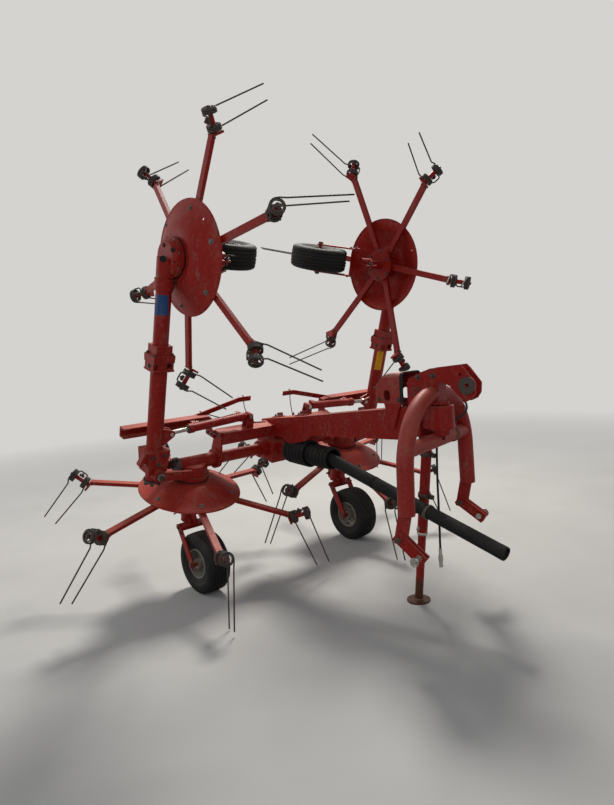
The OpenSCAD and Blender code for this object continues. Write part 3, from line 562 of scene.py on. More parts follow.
def make_materials():
    """The finishes by name. Each colour pair is the clean one, then the paint's sun-worn one, which also
    holds painted sunlight, or the rusty or dusty one.
    """
    red = (0.30, 0.009, 0.005)
    black = (0.006, 0.006, 0.006)
    brown = (0.050, 0.026, 0.016)
    return {
        # A paint's second colour is partly fading, partly painted sunlight; the cover and the arch take it on
        # nearly every face not turned down
        "red": paint("red_paint_worn_and_sunlit", red, (0.52, 0.12, 0.08), fade_and_sunlight_from=0.55),
        "cover": paint("cover_paint", (0.33, 0.016, 0.010), (0.64, 0.32, 0.27), fade_and_sunlight_from=-0.05),
        "arch": paint("arch_paint", (0.30, 0.011, 0.007), (0.42, 0.11, 0.085), fade_and_sunlight_from=-0.15),
        "disc": paint("disc_red_paint", (0.33, 0.013, 0.007), (0.44, 0.065, 0.042), fade_and_sunlight_from=0.5, grime=0.6),
        "leg": paint("leg_paint", red, (0.46, 0.10, 0.07), fade_and_sunlight_from=0.55, grime=0.6, foot_rust=True),
        "rim": paint("rim_paint", (0.25, 0.22, 0.18), (0.42, 0.39, 0.34), fade_and_sunlight_from=0.3, grime=0.95),
        "blue": paint("blue_label", (0.020, 0.070, 0.20), (0.09, 0.16, 0.30), fade_and_sunlight_from=0.8, grime=0.6),
        "yellow": paint("yellow_label", (0.72, 0.36, 0.012), (0.72, 0.45, 0.09), fade_and_sunlight_from=0.8),
        "tyre": rubber("tyre_rubber", black, (0.10, 0.088, 0.075), amount=0.4),
        "plastic": rubber("guard_plastic", black, (0.08, 0.072, 0.065), amount=0.3),
        "hose": rubber("hose_rubber", (0.009, 0.009, 0.010), (0.08, 0.075, 0.07), amount=0.25, scale=90),
        "rope": rubber("thin_rope", (0.10, 0.085, 0.065), (0.20, 0.17, 0.13), amount=0.4, scale=220),
        "spring": bare("spring_wire", (0.035, 0.032, 0.030), brown, rough=(0.6, 0.85), metal=0.15,
                       rust_from=0.52, scale=90),
        "iron": bare("dark_iron", (0.050, 0.046, 0.043), brown, rough=(0.35, 0.65), metal=0.6),
        "steel": bare("worn_steel", (0.42, 0.40, 0.37), (0.16, 0.085, 0.050), rough=(0.28, 0.55), metal=0.9,
                      rust_from=0.56),
        "rusty": bare("rusty_steel", (0.13, 0.075, 0.050), (0.16, 0.062, 0.028), rough=(0.6, 0.9), metal=0.4,
                      rust_from=0.45),
        "bolt": bare("bolt_heads", (0.16, 0.15, 0.14), (0.07, 0.038, 0.024), rough=(0.35, 0.6), metal=0.8,
                     rust_from=0.52, scale=60),
    }


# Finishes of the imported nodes, by the start of their names; the others are red
NODE_FINISH = {
    "head_cover": "cover", "headstock_arch": "arch", "disc": "disc", "stand_leg": "leg", "rim": "rim",
    "tyre": "tyre", "pto": "plastic", "tines": "spring", "boom_clutch": "iron", "clutch": "iron",
    "rod_": "steel", "fold_pins": "steel", "link_pins": "steel", "cylinder_pins": "steel",
    "hose_coupler": "steel"}


def dress_nodes():
    """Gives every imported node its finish."""
    for name, node in nodes.items():
        finish = next((f for start, f in NODE_FINISH.items() if name.startswith(start)), "red")
        node.data.materials.clear()
        node.data.materials.append(mats[finish])


# The floor, in metres

FLOOR_REACH = 14.0
FLOOR_FADE = (3.2, 8.5)
CONCRETE = ((0.47, 0.46, 0.44), (0.52, 0.51, 0.49))


def make_floor():
    """A plain floor that takes the shadow and, seen from afar, fades into the background."""
    mesh = bpy.data.meshes.new("floor")
    corners = [(FLOOR_REACH * x, FLOOR_REACH * y, 0) for x, y in ((-1, -1), (1, -1), (1, 1), (-1, 1))]
    mesh.from_pydata(corners, [], [(0, 1, 2, 3)])
    floor = add_object("floor", mesh)
    m = Nodes("floor")
    m.finish(m.mix(m.ramp(m.noise(1.2, detail=3), 0.3, 0.7), *CONCRETE), 0.8)
    far = m.add("Emission")
    preset(far, {"Color": BACKGROUND})
    away = m.add("VectorMath", operation="LENGTH")
    m.join(m.place, away.inputs[0])
    fade = m.times(m.ramp(away.outputs["Value"], *FLOOR_FADE), seen_directly(m.tree))
    both = m.add("MixShader")
    m.join(fade, both.inputs["Fac"])
    m.join(m.shader.outputs[0], both.inputs[1])
    m.join(far.outputs[0], both.inputs[2])
    m.join(both.outputs[0], m.out.inputs["Surface"])
    mesh.materials.append(m.material)


# The free hose on the headstock, in metres. The route repeats the source's points.

HOSE_ROUTE = [
    (.058, 0, 1.06), (.067, 0, 1.06), (.076, 0, 1.06), (.098, .012, 1.065), (.119, .042, 1.079),
    (.14, .066, 1.094), (.168, .082, 1.112), (.205, .09, 1.136), (.248, .093, 1.166), (.284, .09, 1.194),
    (.308, .074, 1.21), (.322, .048, 1.212), (.326, .018, 1.202), (.316, -.01, 1.182), (.288, -.026, 1.153),
    (.242, -.026, 1.126), (.194, -.01, 1.108), (.158, .024, 1.092), (.136, .058, 1.068), (.12, .082, 1.034),
    (.11, .086, .99), (.098, .084, .93), (.084, .08, .85), (.074, .077, .76), (.07, .075, .66),
    (.069, .075, .56), (.066, .074, .47), (.062, .073, .412), (.062, .073, .392), (.062, .073, .372)]
HOSE_R = 0.0065


def make_hose():
    """The hanging hose with its coupler, and the gland where it leaves the headstock."""
    route = smooth_path([SWUNG @ Vector(p) for p in HOSE_ROUTE])
    rubber_skin = Shape(Matrix()).tube(route, HOSE_R, 12)
    hose = piece("hose_long_rubber", rubber_skin, "hose", "headstock", replaces=["hose_long"])
    gland = Shape(HEADSTOCK @ shift(*(1000 * v for v in HOSE_ROUTE[0])) @ turn("Y", 90))
    gland.bolt(Matrix(), 12, 9)
    gland.lathe([(7, 8), (10.5, 8), (10.5, 12), (9.6, 24), (8.0, 34), (7, 36)], None, 20)
    piece("hose_gland", gland, "steel", "headstock")


# Rotors

WIRE_R = 4.6
COIL_R = 39.4
COIL_TURNS = 3.25
COIL_PITCH = 9.4
COIL_X = 44
COIL_STEPS = 15
TINE_TIP_Z = -397
# The coils' middle on the arm, and how far the arm's end bends down there
ARM_REACH = 753
ARM_BEND = 28
# An arm's bolt on the dish, and the dish's slope there
DISH_R = 280
DISH_N = 82.6
DISH_SLOPE = 27.2
POT_SCREWS = 8


def arm_turn(place, side, i):
    return turn("Z", PHASES[place, side] + 360 / ARMS * i)


def tine_wire(s):
    """One tine from its tip through its coil to the pair's bridge; s is the side along the arm."""
    x0 = s * COIL_X
    width = COIL_TURNS * COIL_PITCH
    outer = x0 + s * width / 2
    knee = Vector((outer - s * 5 - 9.4, -COIL_R, -59))
    tip = Vector((x0 + 14, -15, TINE_TIP_Z))
    path = [tip + (knee - tip) * t for t in (0, 0.33, 0.66, 0.97)]
    path.append(knee + Vector((0, -0.6, 7)))
    path.append(Vector((outer, -COIL_R, -18)))
    steps = int(COIL_STEPS * COIL_TURNS)
    for i in range(steps + 1):
        a = 2 * pi * COIL_TURNS * i / steps
        path.append(Vector((outer - s * width * i / steps, -COIL_R * cos(a), COIL_R * sin(a))))
    inner = outer - s * width
    path.append(Vector((inner, 15, COIL_R + 0.5)))
    path.append(Vector((inner - s * 3, 27, COIL_R - 1)))
    path.append(Vector((inner - s * 12, 34, COIL_R - 4)))
    return path


def make_tines(place, side):
    """A rotor's pairs of coil tines, the arms' ends through the coils, and what holds the coils."""
    base = rotor_frame(place, side)
    body = f"rotor_{place}_{side}"
    wires, holders, ends = Shape(base), Shape(base), Shape(base)
    pair = tine_wire(-1) + tine_wire(1)[::-1]
    for i in range(ARMS):
        at = arm_turn(place, side, i) @ shift(ARM_REACH, 0, 0) @ turn("Y", -ARM_BEND)
        wires.tube(pair, WIRE_R, 8, frame=at)
        ends.tube([(-72, 0, 0), (59, 0, 0), (63, 0, 0)], lambda t: 14 if t < 0.9 else 12, 14, frame=at)
        for x in (-32, 56):
            holders.lathe([(27, x), (34, x), (34, x + 6), (27, x + 6)], at @ turn("Y", 90), 24)
            holders.block((6, 16, 60), (x + 3, 0, 0), at)
        holders.block((26, 50, 9), (-80, 0, 27), at)
        holders.block((34, 12, 14), (0, 0, 31), at)
        holders.bolt(at @ shift(0, 0, 37), 9, 7, 13, 5)
        holders.bolt(at @ shift(62, 0, 0) @ turn("Y", 90), 10, 7, 15)
        holders.bolt(at @ shift(-80, 12, 31), 8, 6, 11)
    piece(f"tine_wires_{place}_{side}", wires, "spring", body, replaces=[f"tines_{place}_{side}"])
    piece(f"tine_holders_{place}_{side}", holders, "iron", body)
    piece(f"tine_stubs_{place}_{side}", ends, "red", body)


def make_disc_trim(place, side):
    """The arms' bolts on the disc, its rolled rim, the pot's screws, and a black ring of painted shade in the
    gap under the pot.
    """
    base = rotor_frame(place, side)
    bolts = Shape(base)
    for i in range(ARMS):
        seat = arm_turn(place, side, i) @ shift(DISH_R, 0, DISH_N) @ turn("Y", DISH_SLOPE)
        bolts.bolt(seat, 10.5, 7, 16, 4)
    piece(f"disc_bolts_{place}_{side}", bolts, "bolt", f"rotor_{place}_{side}")
    rim = Shape(base)
    for r, n, thick in ((328.5, 60.5, 5.2), (316, 67.5, 2.0)):
        rim.tube(circle(r, 96, n), thick, 8, True)
    piece(f"disc_rim_{place}_{side}", rim, "disc", f"rotor_{place}_{side}")
    # A black ring filling the gap between disc and pot: painted shade where the gap lies dark
    gap_shade = Shape(base)
    gap_shade.lathe([(94, 151.8), (115, 151.8), (116.5, 154), (116.5, 157.6), (94, 158.4)], None, 64)
    piece(f"pot_gap_shade_{place}_{side}", gap_shade, "plastic", fixed_body(place, side))
    screws = Shape(base)
    for i in range(POT_SCREWS):
        screws.bolt(turn("Z", 22 + 360 / POT_SCREWS * i) @ shift(111, 0, 188), 5.6, 5)
    piece(f"pot_screws_{place}_{side}", screws, "bolt", fixed_body(place, side))


# Wheels

TYRE_R = 202
TREAD_HALF = 62
RIBS = 6
GROOVE = 5
WHEEL_NUTS = 5
# Half the distance between a fork's outer faces
FORK_HALF = 101


def tyre_outline():
    """Half the tyre's outline from its bead to the middle of the tread, as (radius, width)."""
    outline = [(99.5, 50), (100, 59), (108, 63), (116, 66), (118, 68.5), (121, 68.8), (123, 68), (136, 75),
               (146, 79), (152, 80), (156, 79.2), (158, 79.9), (166, 79), (172, 77.2), (174, 77.8),
               (182, 75.6), (190, 70.5), (195.5, 64.5)]
    rib = 2 * TREAD_HALF / RIBS
    for k in range(RIBS // 2):
        edge = TREAD_HALF - k * rib
        crown = TYRE_R - 0.0011 * (edge - 8) ** 2
        outline += [(crown - 1.2, edge), (crown, edge - 2), (crown + 0.1, edge - rib + 7),
                    (crown - GROOVE, edge - rib + 5.5), (crown - GROOVE, edge - rib + 1.5)]
    return outline


def make_wheel(place, side):
    """The ribbed tyre, the wheel's nuts and valve, and the axle's nuts on its fork."""
    hub = rotor_frame(place, side) @ shift(0, -WHEEL_V, -WHEEL_N)
    base = hub @ turn("Y", 90)
    body = f"wheel_{place}_{side}"
    half = tyre_outline()
    outline = half + [(r, -w) for r, w in reversed(half)]
    tyre = Shape(base)
    tyre.lathe([(min(r, TYRE_R), w) for r, w in outline], None, 120)
    piece(f"tyre_tread_{place}_{side}", tyre, "tyre", body, replaces=[f"tyre_{place}_{side}"], smooth=50)
    nuts = Shape(base)
    for i in range(WHEEL_NUTS):
        spin = turn("Z", 360 / WHEEL_NUTS * i + 10)
        nuts.bolt(spin @ shift(52, 0, -18) @ turn("X", 180), 8.5, 6, 12, 4)
        nuts.bolt(spin @ shift(52, 0, -10), 8.5, 6, 12, 5)
    piece(f"wheel_nuts_{place}_{side}", nuts, "iron", body)
    valve = Shape(base)
    valve.tube([(84, 0, -16), (84, 0, -40), (86, 0, -48)], 3.6, 8)
    piece(f"wheel_valve_{place}_{side}", valve, "hose", body)
    axle = Shape(hub)
    for s in (-1, 1):
        axle.bolt(along_x(s, FORK_HALF), 17, 11, 20)
    piece(f"axle_nuts_{place}_{side}", axle, "iron", fixed_body(place, side))


# Trim that both sides share. What a pixel places on the right is mirrored to the left.

MIRROR = Matrix.Diagonal((-1, 1, 1, 1))


def mirrored(frame, side):
    return frame if side == "right" else MIRROR @ frame


def plug(shape, frame, r, height=5):
    """A round plug with a chamfer and a sunk middle."""
    sunk = height - 2
    shape.lathe([(0, -3), (r, -3), (r, height - 1.5), (r - 1.5, height), (0.5 * r, height), (0.45 * r, sunk),
                 (0, sunk)], frame, 24)


# The photograph's pixels at the outer head's plugs, with the plugs' radii
HEAD_PLUGS = ((164, 245, 12), (173, 250, 14), (163, 259, 19), (174.5, 262, 5))
# The labels' corners in pixels: top left, top right, low right, low left
BLUE_LABEL = ((155.5, 294.5), (168.5, 295.5), (168, 316), (155, 315))
YELLOW_LABEL = ((377.5, 350), (384, 350.5), (380.5, 370), (374, 369.5))
# How far a label stands out of its node and reaches into it, in metres
LABEL_PROUD = 0.0009
LABEL_SUNK = 0.0006
LABEL_CELLS = (8, 14)


def patch(name, node, corners, finish, body):
    """A thin plain label laid on a node between four pixels."""
    across, down = LABEL_CELLS
    c0, c1, c2, c3 = [Vector(c) for c in corners]
    columns = []
    for i in range(across + 1):
        top, low = [], []
        for j in range(down + 1):
            pixel = c0.lerp(c1, i / across).lerp(c3.lerp(c2, i / across), j / down)
            point, normal = seen(pixel.x, pixel.y, node)
            top.append(point + LABEL_PROUD * normal)
            low.append(point - LABEL_SUNK * normal)
        columns.append(top + low[::-1])
    piece(name, Shape(Matrix()).skin(columns), finish, body)


def make_labels():
    patch("blue_label", "neck_right", BLUE_LABEL, "blue", "head_right")
    patch("yellow_label", "boom_tube_left", YELLOW_LABEL, "yellow", "boom_left")


def make_head_plugs(side):
    """Round plugs in an outer head's neck."""
    plugs = Shape(Matrix())
    for px, py, r in HEAD_PLUGS:
        plug(plugs, mirrored(seat_at(px, py, "neck_right"), side), r)
    piece(f"head_plugs_{side}", plugs, "plastic", f"head_{side}")


def make_collar_trim(side):
    """Bolts of a turning head's collar, and the seams of its neck and of the boom."""
    head = f"head_{side}"
    base = carrier_side(side) @ shift(FOLD_X, 0, 0)
    top, low = Shape(base), Shape(base)
    for x in (-57, 57):
        for y in (-46, 46):
            top.bolt(shift(x, y, SWIVEL_N + 26.3), 9.5, 7, 14, 5)
            low.bolt(shift(x, y, SWIVEL_N - 18) @ turn("X", 180), 9.5, 8, 14, 5)
    for s in (-1, 1):
        low.bolt(along_x(s, 68, 0, SWIVEL_N - 40), 10, 7, 15)
    piece(f"collar_bolts_{side}", top, "iron", head)
    piece(f"collar_nuts_{side}", low, "iron", f"boom_{side}")
    seams = Shape(rotor_frame("outer", side) @ shift(0, 0, 210) @ turn("Y", 90))
    for x, r in ((-176, 46), (-120, 50)):
        outline = [(r - 2, x - 4), (r + 1.5, x - 4), (r + 8, x), (r + 8.5, x + 1.5), (r - 2, x + 1.5)]
        seams.lathe(outline, None, 40)
    bead = Shape(base)
    bead.lathe([(49, 404), (53, 405), (56.5, 408), (54, 411), (49.5, 413)], None, 40)
    piece(f"head_seams_{side}", seams, "red", head)
    piece(f"boom_weld_{side}", bead, "red", f"boom_{side}")


# A fold cylinder: its barrel's pin on the carrier, its rod's pin when folded, and its hose's ends along it
BARREL_PIN = (270, 0, 525)
ROD_PIN = (880, 0, 490)
HOSE_START = 82
HOSE_END = 404
HOSE_V = 38
HOSE_N = 14
HOSE_STUB = (0, 6, 12)
BARREL_HOSE_R = 6


def barrel_hose_path():
    """The barrel's hose as in the source: straight stubs at its ends, bowed in between."""
    span = HOSE_END - HOSE_START
    run = [(HOSE_START + x, HOSE_V, HOSE_N) for x in HOSE_STUB]
    for t in [0.09 + 0.1 * i for i in range(9)]:
        bow = sin(pi * t)
        run.append((HOSE_START + span * t, HOSE_V + 9 * bow, HOSE_N - 11 * bow))
    run += [(HOSE_END - x, HOSE_V, HOSE_N) for x in reversed(HOSE_STUB)]
    return smooth_path(run, 3)


def make_hinge_trim(side):
    """Nuts of a fold hinge, and the bolts of the boom's socket."""
    base = carrier_side(side)
    hinge = Shape(base @ shift(FOLD_X, 0, DRIVE_N))
    for s in (-1, 1):
        hinge.bolt(shift(0, s * 108, 0) @ along_y(s), 19, 12, 0, 9)
        hinge.lathe([(15.3, 99), (27, 99), (27, 103), (15.3, 103)], along_y(s), 32)
    piece(f"fold_nuts_{side}", hinge, "iron", "frame")
    socket = Shape(base @ shift(FOLD_X, 0, 0))
    for s in (-1, 1):
        for x, n in ((-44, 372), (44, 372), (0, 318)):
            # The socket widens upward from the fold pins
            half = 58.5 + 0.055 * (n - DRIVE_N)
            socket.bolt(shift(x, s * half, n) @ along_y(s), 9, 6, 13)
    piece(f"socket_bolts_{side}", socket, "iron", f"boom_{side}")


def make_cylinder_trim(side):
    """A fold cylinder's rod pin, its wiper, and its hose with ferrules."""
    base = carrier_side(side)
    eye = Shape(base @ shift(*ROD_PIN))
    for s in (-1, 1):
        eye.lathe([(0, 0), (8, 0), (8, 27.6), (13, 27.6), (13, 33), (11.5, 35), (0, 35)], along_y(s), 24)
    piece(f"rod_eye_pin_{side}", eye, "steel", f"boom_{side}")
    fall = degrees(atan2(BARREL_PIN[2] - ROD_PIN[2], ROD_PIN[0] - BARREL_PIN[0]))
    cylinder = base @ shift(*BARREL_PIN) @ turn("Y", fall)
    gland = Shape(cylinder @ turn("Y", 90))
    gland.lathe([(14.8, 473), (26, 473), (26, 481), (22, 485), (14.8, 485)], None, 36)
    piece(f"rod_wiper_{side}", gland, "iron", f"barrel_{side}")
    path = barrel_hose_path()
    hose = Shape(cylinder)
    hose.tube(path, BARREL_HOSE_R, 12)
    piece(f"hose_barrel_rubber_{side}", hose, "hose", f"barrel_{side}", replaces=[f"hose_barrel_{side}"])
    ends = Shape(cylinder)
    for part in (path[:9], path[-9:][::-1]):
        ends.tube(part[1:], lambda t: 8.6 if 0.1 < t < 0.85 else 7.4, 16)
    for x, s in ((HOSE_START, 1), (HOSE_END, -1)):
        ends.bolt(shift(x, HOSE_V, HOSE_N) @ turn("Y", 90 * s), 10.5, 8)
    piece(f"hose_ferrules_{side}", ends, "steel", f"barrel_{side}")


# The locking pin in a wheel leg's sector, in the rotor's frame
LOCK_PIN_V = 78
LOCK_PIN_N = -148


def make_leg_trim(place, side):
    """Bolts of a wheel leg's fork, its locking pin and the hub's bolts."""
    base = rotor_frame(place, side)
    trim = Shape(base)
    for s in (-1, 1):
        trim.bolt(along_x(s, FORK_HALF, -62, -176), 11, 8, 17, 4)
        trim.bolt(along_x(s, FORK_HALF, -88, -203), 8, 6, 13)
    trim.tube([(x, LOCK_PIN_V, LOCK_PIN_N) for x in (-26, 20, 30)], 8, 14)
    sleeve = shift(0, LOCK_PIN_V, LOCK_PIN_N) @ turn("Y", 90)
    trim.lathe([(8.2, 8), (14, 8), (14, 22), (8.2, 22)], sleeve, 20)
    handle = [(28, 0, 0), (36, 2, -2), (38, 14, -12), (38, 34, -30)]
    trim.tube([(x, LOCK_PIN_V + v, LOCK_PIN_N + n) for x, v, n in handle], 5, 10)
    piece(f"leg_bolts_{place}_{side}", trim, "iron", fixed_body(place, side))
    hub = Shape(base)
    for i in range(ARMS):
        between = arm_turn(place, side, i + 0.5)
        hub.bolt(between @ shift(99, 0, 22) @ turn("X", 180), 8.5, 6, 12)
    piece(f"hub_bolts_{place}_{side}", hub, "iron", f"rotor_{place}_{side}")


# Frame

# A point on the centre boom's sloping top, and its rise toward the front in degrees
BOOM_TOP_Y = -484
BOOM_TOP_Z = 1100
BOOM_RISE = degrees(atan2(38, 454))
# The photograph's pixel at the ring on the boom's side
BOOM_RING = (307, 427)
# The outer faces of the beam's end plates and of the rails' brackets
END_PLATE_X = 514
BRACKET_X = 526.4


def make_beam_bolts():
    """Bolts of the beam's end plates, the rails and their brackets, and the gearbox."""
    bolts = Shape(CARRIER)
    for s in (-1, 1):
        for y, n in ((-38, 212), (38, 212), (-40, 292), (40, 292), (-22, 420), (22, 420)):
            bolts.bolt(along_x(s, END_PLATE_X, y, n), 9, 7, 13, 4)
        for y in (58, 100):
            bolts.bolt(along_x(s, BRACKET_X, y, 404), 9, 7, 13, 4)
        for x in (620, 1100):
            bolts.bolt(shift(s * x, 153, 486) @ along_y(1), 8, 6, 12)
        for x in (-45, 0, 45):
            bolts.bolt(along_x(s, 150, 0, DRIVE_N) @ shift(x, 42 - abs(x) * 0.35, 0), 7, 5)
    piece("beam_bolts", bolts, "bolt", "frame")


def make_boom_trim():
    """Lugs bolted on the boom's top, and the ring welded on its side."""
    plates, bolts = Shape(Matrix()), Shape(Matrix())
    for y, length, width in ((-140, 86, 54), (-400, 96, 50)):
        z = BOOM_TOP_Z + (BOOM_TOP_Y - y) * tan(radians(BOOM_RISE))
        top = PLACED @ shift(0, y, z) @ turn("Z", -90) @ turn("Y", -BOOM_RISE)
        a, b = length / 2, width / 2
        plates.plate([(-a, -b), (a - 14, -b), (a, -b + 14), (a, b), (-a, b)], -1, 7, top)
        plates.plate([(-a + 8, b - 8), (a - 20, b - 8), (a - 20, b), (-a + 8, b)], 5, 30, top)
        for x in (-a + 20, a - 26):
            bolts.bolt(top @ shift(x, -4, 7), 9, 7, 14, 6)
    piece("boom_lugs", plates, "red", "frame", bevel=0.0012)
    piece("boom_lug_bolts", bolts, "iron", "frame")
    ring = Shape(seat_at(*BOOM_RING, "center_boom"))
    ring.lathe([(46, -1), (51, -1), (51, 1.5), (49.5, 2.4), (47.5, 2.4), (46, 1.5)], None, 64)
    piece("boom_side_ring", ring, "red", "frame")


# A latch bar's hook wire down to its eye, and the thin cable's ends, in the carrier's frame
LATCH_HOOK = [
    (214, 172, 604), (214, 160, 607), (214, 150, 600), (214, 148, 575), (212, 138, 540), (207, 118, 505),
    (200, 92, 472), (194, 74, 452), (190, 60, 446), (188, 48, 452), (188, 50, 462), (190, 58, 464)]
LATCH_EYE = (188, 54, 449)
CABLE_ENDS = ((-560, 166, 532), (-95, 20, 444))
CABLE_SAG = 0.05
CABLE_STEPS = 14
CABLE_R = 0.0035


def make_wires():
    """The latch bars' hook wires and the thin cable over the boom."""
    for side in SIDES:
        base = carrier_side(side)
        wire = Shape(base)
        wire.tube(smooth_path(LATCH_HOOK), 3.2, 8)
        piece(f"latch_hook_{side}", wire, "rusty", "frame")
        eye = Shape(base @ shift(*LATCH_EYE))
        eye.tube([(x, 0, z) for x, z, _ in circle(9, 16)], 3, 8, True)
        eye.block((16, 10, 6), (0, -4, -8))
        piece(f"latch_eye_{side}", eye, "iron", "frame")
    a, b = [CARRIER @ Vector(p) for p in CABLE_ENDS]
    low = 4 * CABLE_SAG * (b - a).length
    run = [a.lerp(b, t) - Vector((0, 0, low * t * (1 - t))) for t in
           (i / CABLE_STEPS for i in range(CABLE_STEPS + 1))]
    cable = Shape(Matrix())
    cable.tube(run, CABLE_R, 8)
    piece("thin_cable", cable, "hose", "frame")


# The parked drive shaft: its guard's ends and where the rope is wound, as a share of its length
SHAFT_START = Vector((0, -650, 821))
SHAFT_END = Vector((-14, -1946, 452))
ROPE_SHARE = 0.615
SEAM_SHARES = (0.30, 0.31)
TEETH = 32
TORN_LENGTH = 40
TORN_SEED = 7


def wavy_ring(r, steps, z, wave, phase):
    """A ring of rope round a tube, which wanders along it."""
    return [(x, y, z + wave * sin(t + phase)) for (x, y, _), t in zip(circle(r, steps), angles(steps))]


def make_shaft_trim():
    """Windings of rope round the parked shaft, its guard's seams and torn end."""
    run = SHAFT_END - SHAFT_START
    length = run.length
    axis = PLACED @ Matrix.Translation(SHAFT_START) @ run.to_track_quat("Z", "Y").to_matrix().to_4x4()
    rope = Shape(axis)
    for k, z in enumerate((0, 9, 17)):
        rope.tube(wavy_ring(41, 36, ROPE_SHARE * length + z, 5, k), 3.4, 8, True)
    piece("shaft_rope", rope, "rope", "frame")
    torn = Shape(axis)
    rng = random.Random(TORN_SEED)
    teeth = [rng.uniform(-11, -1) for _ in range(TEETH)]
    rings = []
    for r, ends in ((38.6, [-TORN_LENGTH] * TEETH), (38.8, teeth), (30.5, [v - 1 for v in teeth]),
                    (30.2, [-TORN_LENGTH] * TEETH)):
        rings.append([(x, y, length + z) for (x, y, _), z in zip(circle(r, TEETH), ends)])
    torn.skin(rings, True)
    for share in SEAM_SHARES:
        z = share * length
        torn.lathe([(37.5, z), (40, z + 1), (40, z + 5), (37.5, z + 6)], None, 32)
    piece("shaft_guard_end", torn, "plastic", "frame")


def make_bell_trim():
    """The guard bells' lips, as (radius, place), and the clips round them, as (place, radius, number)."""
    bells = Shape(PLACED @ shift(0, -395, 840) @ turn("X", 4) @ turn("X", 90))
    for r, z in ((91, 80), (73, 290)):
        outline = [(r - 10, z - 7), (r - 1, z - 7), (r + 0.5, z - 2), (r - 1, z + 1), (r - 10, z + 1)]
        bells.lathe(outline, None, 48)
    for z, r, clips in ((40, 92.5, 4), (200, 74.5, 3)):
        for i in range(clips):
            seat = turn("Z", 360 * i / clips + 25) @ shift(r, 0, z) @ turn("Y", 90)
            bells.block((16, 12, 5), (0, 0, 0), seat)
    piece("bell_lips", bells, "plastic", "frame")


# The parking stand's place and lean, and its clamps and its pin along it
STAND_X = 66
STAND_Y = -1290
STAND_LEAN = 7
CLAMPS_AT = (905, 655)
STAND_PIN_AT = 470


def make_stand_trim():
    """The sleeve's clamps and lip, the stand's pin with its ring, and the foot plate's weld."""
    line = PLACED @ shift(STAND_X, STAND_Y, 0) @ turn("X", STAND_LEAN)
    clamp = Shape(line)
    for z in CLAMPS_AT:
        clamp.lathe([(29.6, z), (36, z), (37, z + 2), (37, z + 24), (36, z + 26), (29.6, z + 26)], None, 36)
        for x in (-6, 6):
            clamp.block((5, 34, 24), (x, -48, z + 13))
        clamp.bolt(along_x(1, 8, -54, z + 13), 9, 7, 12, 4)
        clamp.bolt(along_x(-1, 8, -54, z + 13), 9, 7, 12)
    clamp.block((52, 6, 40), (34, 30, 668))
    clamp.bolt(shift(46, 33, 668) @ along_y(1), 9, 7, 13)
    piece("stand_clamps", clamp, "iron", "frame")
    lip = Shape(line)
    lip.lathe([(24.6, 426), (31, 426), (32, 429), (32, 438), (30, 441), (24.6, 441)], None, 36)
    lip.tube([(x, 0, STAND_PIN_AT) for x in (-44, -30, 34)], 6, 12)
    lip.tube([(x - 44, 0, STAND_PIN_AT + z) for x, z, _ in circle(11, 20)], 2.6, 8, True)
    piece("stand_pin", lip, "steel", "frame")
    foot = Shape(PLACED @ shift(STAND_X, STAND_Y, 0))
    foot.lathe([(23.5, 9), (33, 9.5), (28, 14), (24.3, 20), (23.5, 20)], None, 36)
    piece("foot_weld", foot, "rusty", "stand")


# Headstock. The arch's plane and its cross tube's height and radius are the source's.

ARCH_Y = 32
CROSS_Z = 1015
CROSS_R = 40
LEG_X = 385
LEG_R = 45.6
# A bracket's pivot and its eye seen from there
BRACKET_PIVOT = (0, 70, 565)
BRACKET_EYE = (463, -108, -79)
TOP_LINK_EYE = (0, -176, 1318)
ARM_HALF = 46
# The photograph's pixel at the ring bolt on the swing head
RING_BOLT = (416.3, 391.6)


def make_headstock_welds():
    """Saddle seams of the cross tube on the arch's legs, and the beads near the legs' feet."""
    beads = Shape(HEADSTOCK)
    for s in (-1, 1):
        seam = []
        for t in angles(40):
            y = CROSS_R * cos(t)
            x = LEG_X - sqrt(LEG_R ** 2 - y * y)
            seam.append((s * x, ARCH_Y + 1.03 * y, CROSS_Z + 1.03 * CROSS_R * sin(t)))
        beads.tube(seam, 4.2, 8, True)
        foot = [pi * (0.15 + 0.7 * i / 10) for i in range(11)]
        beads.tube([(s * 392, ARCH_Y + 46 * cos(t), 703 + 9 * sin(3 * t)) for t in foot], 3.6, 8)
    piece("headstock_welds", beads, "red", "headstock")


def make_cross_tube_rope():
    """Windings of thin rope round the cross tube, and their knot."""
    rope = Shape(HEADSTOCK @ shift(0, ARCH_Y, CROSS_Z) @ turn("Y", 90))
    for k, x in enumerate((196, 203, 211)):
        rope.tube(wavy_ring(42.5, 32, x, 4, k), 2.6, 8, True)
    knot = [(-40, 14, 203), (-48, 8, 206), (-50, -4, 212), (-44, -8, 204), (-46, 6, 198)]
    rope.tube(smooth_path(knot), 3, 8)
    piece("cross_tube_rope", rope, "rope", "headstock")


def make_link_trim():
    """Nuts on the link brackets' pivots, and clips on the link pins."""
    pins, clips = Shape(HEADSTOCK), Shape(HEADSTOCK)
    for s in (-1, 1):
        tilt = shift(*BRACKET_PIVOT) @ turn("X", -3 * s)
        pins.bolt(tilt @ along_x(s, 426.5), 17, 10)
        pins.bolt(tilt @ shift(s * 358, 0, 0) @ turn("Y", -90 * s), 17, 10)
        x, y, z = BRACKET_EYE
        eye = tilt @ shift(s * x, y, z)
        clips.lathe([(15.5, -5), (19, -5), (19, 5), (15.5, 5)], eye @ turn("Y", 90), 28)
        clips.tube([(0, y, z - 4) for y, z, _ in circle(22, 24)], 2.4, 8, True, eye)
        clips.tube([(0, 0, 20), (0, 0, -22)], 4.2, 8, frame=eye)
    piece("pivot_nuts", pins, "iron", "headstock")
    piece("link_clips", clips, "steel", "headstock")


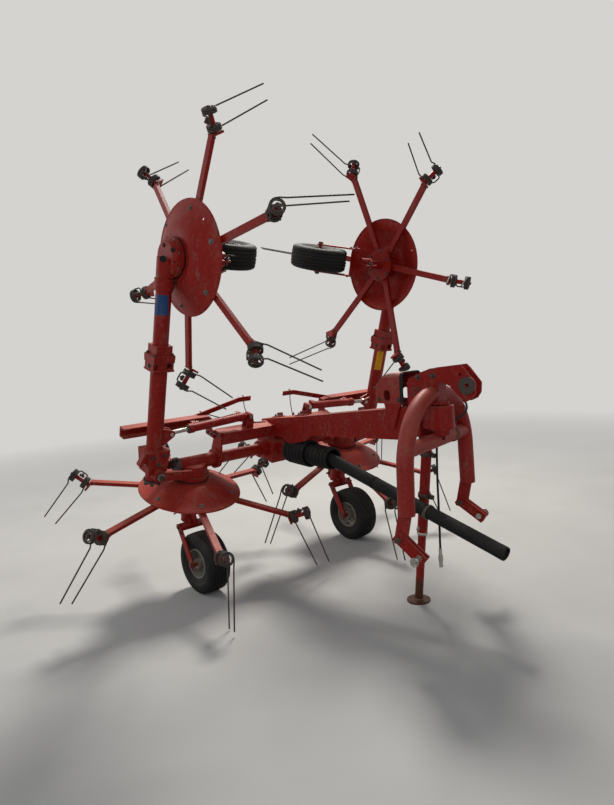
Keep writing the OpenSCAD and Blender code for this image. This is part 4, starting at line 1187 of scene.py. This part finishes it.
def make_swing_head_trim():
    """The ring bolt, the top link arm's bolts, and the dark disc round its bore."""
    at = seat_at(*RING_BOLT, "swing_head")
    ring, button = Shape(at), Shape(at)
    ring.lathe([(16, -2), (25, -2), (25, 3), (22, 6), (18.5, 6), (16, 4)], None, 40)
    button.lathe([(0, -2), (15.6, -2), (15.6, 5), (13.5, 7), (0, 7)], None, 32)
    piece("ring_bolt_collar", ring, "iron", "headstock")
    piece("ring_bolt", button, "red", "headstock")
    arm = Shape(HEADSTOCK)
    for y, z in ((20, 1372), (110, 1366)):
        for s in (-1, 1):
            arm.bolt(along_x(s, ARM_HALF, y, z), 10, 8, 16, 4)
    piece("arm_bolts", arm, "iron", "headstock")
    disc = Shape(HEADSTOCK @ shift(*TOP_LINK_EYE) @ turn("Y", 90))
    disc.lathe([(12.9, -60.4), (19, -60.4), (20, -59.2), (43, -59.2), (43.6, -60), (46, -60), (47, -58.6),
                (47, -57.7), (12.9, -57.7)], None, 48)
    piece("top_link_disc", disc, "iron", "headstock")


# The cover over the swing head: half its width, its top, the bend of its upper corners and its foot
COVER = PLACED @ shift(0, -1570, 0)
COVER_HALF = 86
COVER_TOP = 1395
COVER_BEND = 30
COVER_FOOT = 1222
COVER_MIDDLE = 1310


def make_cover_trim():
    """The rubber lip round the cover's mouth, and its side bolts."""
    half = [(COVER_HALF, COVER_FOOT)]
    for a in (radians(15 * i) for i in range(7)):
        half.append((COVER_HALF - COVER_BEND * (1 - cos(a)), COVER_TOP - COVER_BEND * (1 - sin(a))))
    lip = Shape(COVER)
    rings = []
    for k, (x, z) in enumerate(half + [(-x, z) for x, z in reversed(half)]):
        inward = Vector((-x, 0, COVER_MIDDLE - z)).normalized()
        wave = 1.5 * sin(k * 1.7)
        section = ((-0.8, 214), (-0.8, 196), (4 + wave, 193 + wave), (9, 194), (9.5, 198), (4.6, 203.5),
                   (4.6, 214))
        rings.append([Vector((x, y, z)) + d * inward for d, y in section])
    lip.skin(rings)
    piece("cover_lip", lip, "hose", "frame")
    bolts = Shape(COVER)
    for s in (-1, 1):
        for y in (226, 372):
            bolts.bolt(along_x(s, COVER_HALF, y, 1238), 8.5, 6, 13)
    piece("cover_bolts", bolts, "iron", "frame")


make_camera()
make_light()
make_floor()
mats = make_materials()
dress_nodes()
make_hose()
for place, side in PHASES:
    make_tines(place, side)
    make_disc_trim(place, side)
    make_wheel(place, side)
    make_leg_trim(place, side)
for side in SIDES:
    make_head_plugs(side)
    make_collar_trim(side)
    make_hinge_trim(side)
    make_cylinder_trim(side)
make_labels()
make_beam_bolts()
make_boom_trim()
make_wires()
make_shaft_trim()
make_bell_trim()
make_stand_trim()
make_headstock_welds()
make_cross_tube_rope()
make_link_trim()
make_swing_head_trim()
make_cover_trim()
